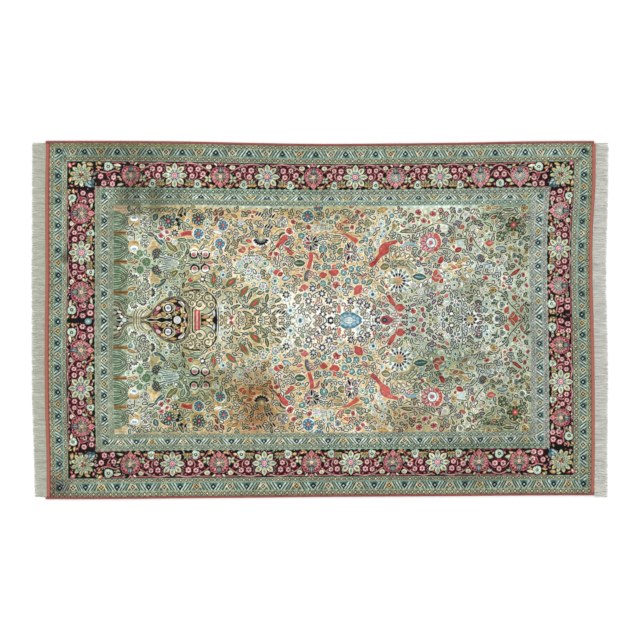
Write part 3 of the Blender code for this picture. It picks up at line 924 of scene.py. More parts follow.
def triBlob(pen, size):
    for turn in (90, 210, 330):
        pen.at(0, 0, turn).fill(oval(size * 0.5, 0, size * 0.62, size * 0.5), "cream")
    for turn in (90, 210, 330):
        pen.at(0, 0, turn).fill(oval(size * 0.5, 0, size * 0.5, size * 0.38), "sand")
    pen.line([(-size * 0.4, -size * 0.2), (0, size * 0.1), (size * 0.5, 0)], 1.5, "amber")


def dottedRing(pen, radius, count, dot, heart):
    pen.disc(radius * 1.5, "chalk")
    for k in range(count):
        pen.at(0, 0, 360 * k / count).fill(oval(radius, 0, 4.4, 3.1, 0, 8), dot)
    pen.disc(radius * 0.52, heart, sides=10)
    pen.disc(radius * 0.24, "chalk", sides=8)


def maple(pen, length, width, colour):
    # a small pointed leaf with three to five tips
    for rim, dye in ((3.2, "cream"), (1.1, "maroon"), (0, colour)):
        for turn, share in ((0, 1.0), (42, 0.72), (-42, 0.72), (100, 0.5), (-100, 0.5)):
            tip = pen.at(length * 0.32, 0, turn)
            tip.fill(grown(blade(length * 0.68 * share, width * 0.62, 0, -length * 0.06), rim), dye)
        pen.fill(grown(blade(length * 0.6, width * 0.4), rim), dye)
    pen.fill(blade(length * 0.6, width * 0.16, 0, length * 0.2), "coral" if colour != "coral" else "blush")


# Flowers of the field's upper half: u, v, radius, kind. All of the field is mirrored about v = 0.
fieldFlowers = (
    (-409, 291, 16.5, "daisy"), (-326, 320, 16, "daisy"), (-337, 258, 16.5, "daisy"),
    (-40, 354, 19, "daisy"), (-5, 387, 16, "daisy"), (-380, 325, 11, "eye"), (-270, 184, 12.5, "drop"),
    (-240, 167, 12.5, "ring"), (-247, 207, 13, "ring"), (-213, 208, 13.5, "ring"),
    (-183, 193, 12.5, "eye"), (-161, 167, 12.5, "drop"), (-206, 148, 13, "ring"),
    (-190, 116, 14, "ring"), (-149, 134, 13, "eye"), (-148, 103, 12.5, "ring"),
    (-97, 34, 14, "blueEye"), (-64, 2, 14.5, "blueEye"), (-108, 81, 17, "paleRing"),
    (-238, 137, 9, "eye"), (-265, 328, 9, "ring"), (-323, 152, 9, "ring"), (-88, 335, 9, "berry"),
    (-12, 314, 13, "paleRing"), (-60, 287, 11, "disc"), (-145, 225, 9, "berry"), (-57, 220, 8, "disc"),
    (-36, 317, 9, "berry"), (84, 163, 10.5, "disc"), (109, 174, 10.5, "disc"), (136, 175, 10.5, "disc"),
    (99, 135, 10.5, "disc"), (125, 134, 10.5, "disc"), (14, 126, 10, "disc"), (14, 242, 14, "disc"),
    (75, 75, 10, "star"), (72, 66, 7, "blueEye"), (182, 88, 13, "blueEye"), (60, 118, 14, "berry"),
    (70, 106, 8, "blueEye"), (185, 312, 9, "paleRing"), (210, 328, 10, "blueEye"), (172, 292, 9, "eye"),
    (158, 275, 10, "disc"), (175, 240, 9, "disc"), (220, 303, 8, "blueEye"), (35, 312, 8, "blueEye"),
    (40, 335, 8, "disc"), (30, 355, 8, "disc"), (10, 312, 8, "ring"), (12, 338, 8, "blueEye"),
    (60, 350, 10, "darkDaisy"), (130, 368, 10, "berry"), (108, 387, 9, "berry"),
    (165, 330, 13, "olive"), (200, 365, 9, "eye"), (145, 240, 10, "eye"), (200, 260, 10, "paleRing"),
    (210, 285, 9, "blueEye"), (245, 355, 8, "disc"), (255, 318, 9, "star"), (240, 150, 11, "drop"),
    (230, 115, 8, "berry"), (335, 365, 11, "plum"), (385, 360, 11, "plum"), (355, 337, 9, "plum"),
    (318, 337, 8, "plum"), (285, 322, 9, "berry"), (290, 330, 7, "disc"), (318, 30, 10, "berry"),
    (345, 0, 8, "plum"), (415, 0, 10, "blueEye"), (568, 52, 11, "blueEye"), (588, 75, 9, "darkDaisy"),
    (590, 30, 9, "blueEye"), (603, 0, 9, "darkDaisy"), (620, 47, 10, "darkDaisy"),
    (566, 140, 9, "berry"), (684, 92, 13, "paleRing"), (628, 205, 9, "paleRing"),
    (497, 355, 9, "paleRing"), (492, 320, 8, "paleRing"), (545, 262, 13, "paleRing"),
    (528, 305, 9, "paleRing"), (578, 287, 9, "blueEye"), (647, 105, 7, "plum"), (618, 280, 18, "olive"),
    (578, 258, 10, "plum"), (693, 295, 12, "star"), (693, 375, 12, "star"), (655, 330, 16, "star"),
    (655, 330, 8, "plum"), (560, 102, 12, "paleRing"), (590, 98, 12, "star"), (452, 270, 11, "star"),
    (475, 370, 8, "darkDaisy"), (670, 195, 7, "plum"), (608, 193, 6, "plum"), (620, 170, 9, "blueEye"),
    (595, 185, 8, "darkDaisy"), (668, 75, 7, "berry"), (705, 112, 8, "plum"), (690, 62, 6, "plum"),
    (630, 137, 7, "plum"), (627, 112, 6, "berry"), (635, 25, 10, "plum"), (520, 345, 8, "plum"),
    (430, 360, 6, "floret"), (410, 372, 6, "floret"), (460, 118, 10, "blueEye"), (485, 100, 9, "eye"),
    (440, 150, 9, "eye"), (540, 235, 8, "eye"), (650, 240, 8, "star"), (665, 228, 8, "star"),
    (703, 225, 8, "star"), (570, 377, 9, "star"), (685, 255, 9, "darkDaisy"),
    (665, 215, 9, "darkDaisy"), (700, 200, 9, "olive"), (640, 310, 8, "olive"), (345, 95, 8, "ring"),
    (300, 95, 8, "ring"), (320, 118, 8, "ring"), (345, 170, 8, "drop"), (-537, 307, 9, "plum"),
    (-537, 283, 9, "plum"), (-517, 295, 7.5, "plum"), (-608, 224, 11, "green"),
    (-586, 195, 14, "green"), (-608, 168, 12, "green"), (-518, 110, 12, "blueEye"),
    (-505, 88, 9, "darkDaisy"), (-326, 153, 11, "blueEye"), (-512, 272, 7, "berry"),
    (-490, 262, 8, "paleRing"), (-540, 195, 9, "eye"), (-565, 60, 11, "eye"), (-600, 28, 9, "blueEye"),
    (-430, 380, 9, "olive"), (-480, 128, 9, "eye"), (-385, 262, 9, "olive"), (-352, 222, 9, "paleRing"),
    (-360, 242, 8, "star"),
)
# Rings of black beads, in the cream middle
beadFlorets = (
    (-21, 109, "mist"), (10, 92, "mist"), (-36, 66, "ivory"), (-10, 45, "mist"), (13, 22, "ivory"),
    (33, 68, "mist"), (49, 37, "ivory"), (39, 0, "ivory"), (107, 66, "lilac"), (138, 63, "lilac"),
    (163, 50, "lilac"), (184, 26, "lilac"), (200, 1, "lilac"), (-490, 293, "stone"), (-112, 88, "sage"),
    (300, 40, "stone"), (448, 20, "ivory"), (-396, 138, "ivory"),
)
# Leaves: u, v, turn, length, width, colour
fieldLeaves = (
    (-562, 286, -44, 58, 13, "teal"), (-560, 108, 36, 50, 13, "teal"),
    (-518, 262, -42, 50, 18, "olive"), (-518, 138, 36, 46, 15, "olive"),
    (-468, 258, -70, 26, 13, "celadon"), (-440, 118, 10, 34, 17, "leaf"),
    (-454, 149, 60, 20, 9, "gold"), (-460, 112, 30, 22, 9, "gold"), (-470, 232, -70, 34, 14, "celadon"),
    (-465, 185, 80, 34, 14, "celadon"), (-322, 92, -8, 44, 15, "sage"), (-240, 92, 30, 40, 12, "leaf"),
    (-290, 160, 15, 40, 11, "sage"), (-125, 138, 25, 32, 15, "sky"), (-112, 264, 10, 26, 12, "teal"),
    (-104, 215, -20, 24, 10, "moss"), (-85, 195, 0, 36, 20, "fern"), (-172, 230, 40, 44, 9, "moss"),
    (-215, 232, -15, 24, 14, "gold"), (-230, 305, 90, 22, 12, "blue"), (-265, 262, 0, 26, 8, "leaf"),
    (-300, 275, 30, 30, 8, "sage"), (-258, 290, 60, 26, 8, "moss"), (-285, 215, -10, 26, 10, "straw"),
    (-320, 232, 60, 34, 9, "moss"), (-150, 320, 0, 40, 9, "moss"), (-150, 62, 30, 26, 8, "moss"),
    (-180, 60, 80, 30, 9, "moss"), (-65, 40, 60, 22, 9, "leaf"), (-80, 80, 20, 24, 9, "leaf"),
    (-30, 130, -30, 24, 10, "leaf"), (20, 200, 90, 24, 14, "fern"), (50, 225, 60, 24, 9, "leaf"),
    (62, 232, 10, 28, 22, "olive"), (50, 262, 10, 26, 10, "leaf"), (82, 311, 0, 24, 12, "leaf"),
    (40, 285, 0, 40, 7, "moss"), (150, 200, -30, 32, 9, "olive"), (120, 250, -50, 22, 12, "leaf"),
    (160, 120, 40, 28, 12, "leaf"), (90, 110, 0, 28, 12, "mauve"), (200, 118, -50, 34, 14, "stone"),
    (210, 180, 10, 28, 18, "olive"), (182, 172, 60, 28, 10, "leaf"), (245, 230, 80, 26, 11, "leaf"),
    (320, 148, -5, 44, 20, "teal"), (300, 200, -40, 40, 9, "stone"),
    (330, 262, -10, 30, 9, "straw"), (275, 300, 10, 40, 8, "moss"), (270, 90, -60, 24, 8, "leaf"),
    (360, 200, 0, 30, 10, "stone"), (350, 215, 30, 30, 10, "leaf"), (440, 170, 20, 40, 9, "sage"),
    (395, 330, 20, 30, 10, "gold"), (510, 230, -60, 34, 9, "leaf"), (530, 200, 40, 30, 12, "sky"),
    (600, 240, 0, 34, 12, "sky"), (640, 345, 20, 40, 8, "moss"), (680, 270, 80, 30, 9, "moss"),
    (600, 350, 30, 40, 7, "moss"), (560, 330, -30, 30, 8, "leaf"), (620, 370, 0, 40, 8, "moss"),
    (-590, 300, 60, 36, 9, "moss"), (-540, 340, 20, 34, 10, "moss"), (-560, 335, 70, 24, 16, "teal"),
    (-480, 350, 60, 34, 10, "moss"), (-450, 300, 30, 26, 9, "leaf"), (-480, 270, 0, 30, 9, "leaf"),
    (-440, 250, -20, 36, 14, "straw"), (-620, 130, 70, 30, 9, "sage"),
    (-590, 180, 0, 30, 16, "celadon"), (-480, 120, 30, 34, 12, "celadon"),
    (-430, 115, 0, 34, 11, "celadon"), (-560, 62, 50, 30, 12, "celadon"),
    (-385, 130, -40, 30, 10, "celadon"), (-375, 250, 60, 30, 9, "straw"),
    (-365, 205, -30, 26, 8, "moss"), (-345, 205, 90, 26, 9, "moss"), (-345, 170, 20, 26, 9, "moss"),
    (-280, 60, 50, 34, 10, "moss"), (-300, 40, 20, 34, 9, "moss"), (-260, 30, -20, 34, 9, "moss"),
    (-240, 70, 70, 30, 9, "moss"), (-300, 70, 90, 26, 9, "sage"), (-220, 20, 20, 30, 9, "moss"),
    (-260, 55, 120, 28, 9, "sage"), (-160, 20, 30, 34, 9, "moss"), (-200, 25, 40, 30, 10, "leaf"),
    (-210, 90, 20, 24, 10, "olive"),
)
# Buds with a red spindle: u, v, turn, length
fieldBuds = ((-358, 112, 90, 50), (-318, 112, 40, 50), (-272, 78, 50, 50), (-238, 38, 45, 54))
# Small red, orange and dark shapes: u, v, turn, length, width, colour
fieldTouches = (
    (-362, 300, -12, 36, 13, "chalk"), (-384, 194, 0, 24, 13, "navy"), (-380, 194, 0, 20, 8, "rose"),
    (-355, 352, 75, 24, 14, "maroon"), (-338, 350, 60, 24, 12, "maroon"),
    (-352, 325, 80, 26, 12, "maroon"), (-318, 357, -12, 34, 13, "gold"),
    (-300, 360, -30, 26, 11, "amber"), (-250, 365, 5, 38, 9, "coral"),
    (-245, 372, -30, 16, 8, "crimson"), (-274, 236, 0, 25, 15, "red"), (-262, 250, -45, 18, 9, "coral"),
    (-252, 278, 100, 14, 10, "red"), (-248, 272, -20, 20, 11, "red"), (-240, 238, 40, 22, 10, "red"),
    (-232, 250, -15, 16, 8, "coral"), (-172, 212, 60, 26, 9, "crimson"), (-178, 210, 0, 16, 12, "rust"),
    (-155, 163, 0, 28, 22, "red"), (-140, 152, 30, 20, 12, "crimson"), (-150, 200, 90, 16, 10, "mauve"),
    (-90, 170, 10, 34, 9, "apricot"), (-80, 155, -10, 24, 9, "coral"), (-64, 110, 10, 26, 20, "red"),
    (-68, 105, -20, 14, 8, "crimson"), (-24, 230, -20, 26, 9, "maroon"),
    (-10, 225, -60, 22, 9, "crimson"), (0, 152, 10, 26, 20, "red"), (36, 165, 0, 28, 40, "red"),
    (42, 175, 40, 22, 12, "coral"), (5, 212, 60, 24, 9, "maroon"), (78, 190, -30, 18, 10, "red"),
    (86, 175, 0, 14, 8, "coral"), (62, 25, 80, 36, 10, "red"), (70, 25, 100, 30, 7, "coral"),
    (150, 10, 60, 20, 8, "crimson"), (210, 56, 0, 14, 9, "coral"), (210, 33, 0, 14, 9, "coral"),
    (205, 0, 0, 44, 34, "crimson"), (225, 115, 0, 18, 12, "red"), (256, 42, 0, 34, 26, "red"),
    (232, 44, -40, 26, 8, "white"), (383, 143, 0, 32, 34, "coral"), (390, 150, 60, 24, 12, "red"),
    (412, 120, 70, 22, 10, "crimson"), (395, 85, 30, 18, 11, "rose"), (402, 50, 0, 18, 11, "red"),
    (425, 75, 40, 18, 10, "rose"), (455, 182, 0, 34, 12, "amber"), (450, 182, -20, 20, 9, "coral"),
    (470, 190, 30, 24, 10, "gold"), (485, 200, 20, 24, 12, "gold"), (480, 145, -30, 24, 10, "amber"),
    (505, 160, 30, 20, 10, "gold"), (462, 230, 30, 26, 16, "crimson"), (515, 260, 80, 24, 9, "crimson"),
    (565, 258, 0, 28, 20, "coral"), (580, 342, 15, 26, 10, "rust"), (470, 312, 10, 24, 12, "coral"),
    (540, 290, 40, 20, 9, "blush"), (650, 145, 35, 42, 10, "crimson"), (656, 78, -60, 20, 8, "crimson"),
    (640, 2, 0, 36, 26, "red"), (650, 5, 60, 22, 8, "coral"), (630, 20, 60, 24, 12, "red"),
    (683, 22, 70, 26, 9, "rose"), (585, 375, 20, 20, 8, "gold"), (195, 372, 10, 36, 15, "gold"),
    (100, 385, 20, 20, 9, "coral"), (70, 340, 20, 30, 12, "gold"), (80, 333, 15, 32, 11, "red"),
    (52, 300, 0, 40, 10, "gold"), (100, 300, -20, 46, 10, "gold"), (40, 270, 10, 34, 9, "gold"),
    (-75, 275, -20, 22, 11, "gold"), (-70, 228, 10, 26, 9, "gold"), (200, 60, 70, 20, 8, "apricot"),
    (180, 120, 10, 22, 9, "straw"), (-655, 350, 30, 14, 8, "teal"), (-650, 195, 0, 34, 12, "amber"),
    (-650, 100, 20, 30, 9, "amber"), (-445, 132, 20, 22, 14, "red"), (-460, 140, 80, 22, 8, "bark"),
    (-463, 105, 80, 22, 9, "bark"), (-430, 140, 10, 26, 16, "straw"), (-610, 292, 0, 8, 6, "bark"),
    (-640, 192, 40, 20, 10, "gold"), (360, 203, 20, 20, 12, "gold"), (-265, 132, 60, 16, 10, "amber"),
    (690, 340, 60, 20, 8, "crimson"), (668, 318, 30, 18, 8, "crimson"), (640, 320, 60, 16, 8, "maroon"),
)
pepper = ((-335, 184), (-323, 176), (-310, 169), (-298, 165), (-295, 182), (-308, 190), (-320, 198),
          (-285, 163),
          (-278, 340), (-278, 330), (-275, 318), (-261, 319), (-253, 326), (-520, 268), (-345, 215),
          (-315, 222),
          (340, 262), (510, 205), (-630, 292), (96, 196), (-142, 108))
strokes = ((-203, 360, 60), (-165, 356, 60), (-172, 317, 50), (-130, 30, 40))


def tripleLine(pen, points, width=11):
    # a cream cord edged and parted with dark silk
    pen.line(points, width + 3, "cream")
    pen.line(points, width, "bark")
    pen.line(points, width - 4.4, "cream")
    pen.line(points, 2.2, "husk")


def vase(pen):
    # lying on the field's middle line, foot to the left; its lower half is the mirror image
    foot = [(-698, 60), (-684, 58), (-672, 46), (-664, 26), (-650, 13), (-630, 8), (-604, 7)]
    pen.fill(np.vstack((through(foot), [(-604, 0), (-698, 0)])), "stone")
    for k in range(5):
        pen.line([(-697, 52 - 9 * k), (-684, 49 - 9 * k), (-675 + 3 * k, 38 - 8 * k)], 3.2,
                 ("bark", "cream")[k % 2])
    for x, y, turn, length, colour in ((-680, 40, -62, 24, "ink"), (-692, 18, 24, 26, "ink"),
                                       (-674, 26, -50, 24, "ink"),
                                       (-690, 6, 0, 32, "ink"), (-686, 31, -24, 16, "white"),
                                       (-678, 15, -30, 20, "white"),
                                       (-662, 8, -10, 22, "ink"), (-670, 3, 0, 18, "mist")):
        pen.blade(x, y, turn, length, 8.5, colour, "cream" if colour == "ink" else "ink", 1.4)
    tripleLine(pen, foot, 8)
    # the neck is a sheaf of cords that flare above the foot
    for shift in (0, 8, 16, 24):
        flare = [(-628 + shift, 0), (-628 + shift, 14), (-626 + shift * 1.2, 26), (-622 + shift * 1.6, 36)]
        pen.line(flare, 6.6, "cream")
        pen.line(flare, 2.8, "bark")
    body = [(-604, 5), (-586, 9), (-570, 21), (-553, 42), (-533, 61), (-511, 72), (-487, 76),
            (-464, 69), (-446, 50), (-437, 26), (-433, 0)]
    pen.fill(np.vstack((through(body), [(-433, 0), (-604, 0)])), "ink")
    tripleLine(pen, body, 8)
    inner = [(-592, 0), (-572, 11), (-553, 31), (-533, 49), (-509, 60), (-487, 64), (-468, 58), (-452, 42),
             (-445, 22), (-443, 0)]
    pen.line(inner, 2.6, "straw")
    for x, y, turn, length, width, colour in (
            (-580, 3, 14, 34, 11, "gold"), (-562, 14, 40, 26, 12, "rose"), (-552, 30, 44, 26, 13, "blush"),
            (-552, 10, 20, 30, 11, "honey"), (-536, 26, -40, 24, 12, "gold"), (-538, 44, 34, 20, 9, "honey"),
            (-524, 8, 0, 22, 10, "cream"), (-516, 62, 0, 36, 9, "gold"), (-492, 52, -62, 36, 13, "honey"),
            (-478, 62, -40, 30, 13, "white"), (-470, 42, -72, 34, 13, "straw"),
                (-459, 30, -82, 30, 12, "white"),
            (-500, 14, 30, 28, 11, "gold"), (-470, 8, 40, 20, 10, "gold"), (-452, 6, 80, 18, 8, "honey"),
            (-512, 22, -60, 22, 8, "cream"), (-486, 34, 30, 16, 8, "rose")):
        pen.blade(x, y, turn, length, width, colour, "ink", 2.4, bend=2.0)
    for points in ([(-590, 1), (-570, 6), (-552, 4), (-534, 10), (-516, 6), (-500, 12)],
                   [(-520, 62), (-500, 56), (-488, 44), (-492, 28), (-484, 16)],
                   [(-474, 58), (-462, 46), (-458, 28)]):
        pen.line(points, 3.0, "cream", "ink", 2.0)
    ringFlower = pen.at(-512, 40)
    ringFlower.fill(oval(0, 0, 18.5, 17, sides=16), "cream")
    ringFlower.fill(oval(0, 0, 16, 14.5, sides=16), "ink")
    ringFlower.fill(scallops(6, 8, 11), "chalk")
    ringFlower.fill(oval(0, 0, 5.6, 5.2, sides=10), "slate")
    ringFlower.disc(2.2, "mist", sides=8)
    flower(pen.at(-481, 0), 9, "paleRing")
    # the scrolled handle: interlaced cords coiled in rounds
    handle = [(-470, 82), (-450, 95), (-420, 101), (-390, 98), (-364, 84), (-351, 64), (-349, 50)]
    pen.fill(np.vstack((through(handle), [(-349, 0), (-433, 0), (-440, 60)])), "sage")
    tripleLine(pen, handle, 6)
    for x, y, radius, turn in ((-404, 52, 19, 0), (-378, 74, 15, 60), (-436, 82, 14, 120), (-430, 56, 12, 20),
                               (-366, 52, 12, 200), (-410, 84, 12, 80), (-396, 94, 9, 0), (-452, 86, 9, 40)):
        scroll = pen.at(x, y, turn)
        scroll.disc(radius + 1, "cream", "bark", 2.2)
        for offset, width, colour in ((0, 3.4, "olive"), (0.5, 2.6, "bark")):
            coil = [(radius * (0.92 - 0.1 * k) * math.cos(k * 0.9 + offset),
                     radius * (0.92 - 0.1 * k) * math.sin(k * 0.9 + offset))
                    for k in range(9)]
            scroll.line(coil, width, colour)
    pen.fill(oval(-404, 52, 5, 5), "stone", "bark", 1.2)
    tripleLine(pen, [(-430, 0), (-430, 30), (-426, 42)], 6)
    pen.fill(box(-421, 0, -406, 33), "red", "maroon", 1.6)
    pen.fill(box(-416.5, 0, -411.5, 31), "blush")
    rim = [(-400, 24), (-386, 20), (-368, 26), (-355, 40), (-349, 54)]
    pen.fill(np.vstack((through(rim), [(-345, 0), (-400, 0)])), "ink")
    for x, y, turn, length, width, colour in (
            (-399, 8, 8, 28, 11, "gold"), (-380, 15, 34, 26, 10, "white"), (-365, 27, 60, 20, 8, "white"),
            (-384, 2, 0, 24, 6, "cream"), (-356, 8, 92, 28, 8, "mist"), (-370, 6, 30, 16, 9, "honey")):
        pen.blade(x, y, turn, length, width, colour, "ink", 1.6)
    tripleLine(pen, rim, 4)
    pen.line([(-341, 0), (-341, 30), (-345, 54)], 3.0, "bark", "ivory", 2.6)


# Rows of small curls: their line, size, colour and outline
chains = (
    (((215, 209), (240, 222), (265, 223), (305, 215), (328, 186)), 11, "cream", "night"),
    (((226, 186), (250, 197), (271, 197), (305, 186), (316, 169)), 9, "sage", "bark"),
    (((311, 135), (333, 113), (361, 124), (384, 136), (395, 158)), 12, "chalk", "night"),
    (((320, 108), (345, 92), (372, 98), (398, 112)), 10, "mist", "bark"),
    (((412, 175), (418, 141), (446, 119), (474, 113), (502, 136), (508, 158)), 12, "chalk", "slate"),
    (((430, 165), (440, 142), (462, 132), (484, 138)), 9, "mist", "night"),
    (((553, 192), (587, 169), (621, 169), (644, 192)), 11, "mist", "slate"),
    (((536, 376), (587, 382), (633, 361), (666, 339), (700, 333)), 11, "sage", "bark"),
    (((560, 352), (600, 352), (628, 330)), 9, "stone", "night"),
    (((-600, 372), (-560, 366), (-520, 372), (-480, 366), (-440, 372)), 10, "sage", "night"),
    (((-470, 372), (-466, 345), (-474, 318), (-462, 300)), 13, "sage", "night"),
    (((-575, 345), (-560, 320), (-575, 292)), 12, "celadon", "night"),
    (((-395, 362), (-398, 340), (-388, 318)), 10, "sage", "bark"),
    (((-310, 352), (-300, 334), (-318, 312), (-300, 296)), 10, "cream", "night"),
    (((-480, 262), (-440, 266), (-400, 262)), 9, "celadon", "deepTeal"),
    (((-600, 118), (-575, 130), (-560, 118), (-540, 128)), 9, "mint", "deepTeal"),
    (((-200, 62), (-170, 74), (-150, 66), (-128, 74)), 10, "cream", "moss"),
    (((-250, 108), (-222, 96), (-190, 96)), 9, "sage", "moss"),
)


def drawGround(design):
    design.fill(bandBox("field"), "sand")
    area = bandBox("field")
    for u, v, across, up, colour, *shares in grounds:
        for hand, share in zip((1, -1), shares):
            design.wash(u, v * hand, across, up, colour, share, area)
    left, right, back, front = bands["field"]
    design.wash(-250, back, 400, 15, "frost", 1.0, area)
    design.wash(380, back, 330, 13, "frost", 0.9, area)
    design.wash(-660, 362, 60, 26, "blush", 0.5, area)
    pen = Pen(design, twin=True)
    for k in range(7):
        y = 352 + 4.5 * k
        pen.line([(-696, y + 2), (-676, y), (-650, y + 2), (-624, y - 1)], 2.2,
                 "apricot" if k % 2 else "cream")
    design.wash(-613, 368, 12, 22, "bark", 0.8)

    def stems(width, near, nearStep, far, farStep):
        for v in (92, 195, 292):
            for k, colour in enumerate(("rust", "amber", "bark", "amber")):
                pen.line([(-697, v - 5 + 3.4 * k), (-665, v - near + nearStep * k),
                          (-640, v - far + farStep * k)],
                         width, colour)

    stems(2.6, 3, 2.4, 1, 1.4)
    # plants like combs along the foot of the field, their leaves arching over
    for v, high in ((47, 41), (143, 45), (243, 44), (330, 32)):
        pen.fill(np.clip(oval(-694, v, 50, high, sides=24), (-697, -1e3), (1e3, 1e3)), "leaf", "mint", 1.6)
        for k in range(6):
            reach = (0.12 + 0.17 * k) * high
            pen.line([(-697, v + reach * 1.05), (-682 + reach * 0.2, v + reach * 0.92),
                      (-670 + reach * 0.62, v + reach * 0.3),
                      (-670 + reach * 0.62, v - reach * 0.3), (-682 + reach * 0.2, v - reach * 0.92),
                      (-697, v - reach * 1.05)],
                     2.6, ("mint", "cream", "celadon")[k % 3], "fern", 1.8)
        for k in range(5):
            twig = pen.at(-676 + 6 * k, v, 0)
            twig.line([(0, 0), (6, 9 + 3 * k), (2, 15 + 4 * k)], 1.8, "bark")
            twig.line([(0, 0), (6, -9 - 3 * k), (2, -15 - 4 * k)], 1.8, "bark")
    stems(2.8, 4, 2.8, 8, 5.4)
    for places, width in boughs:
        pen.line(places, width, "gold", "cream", 2.0)


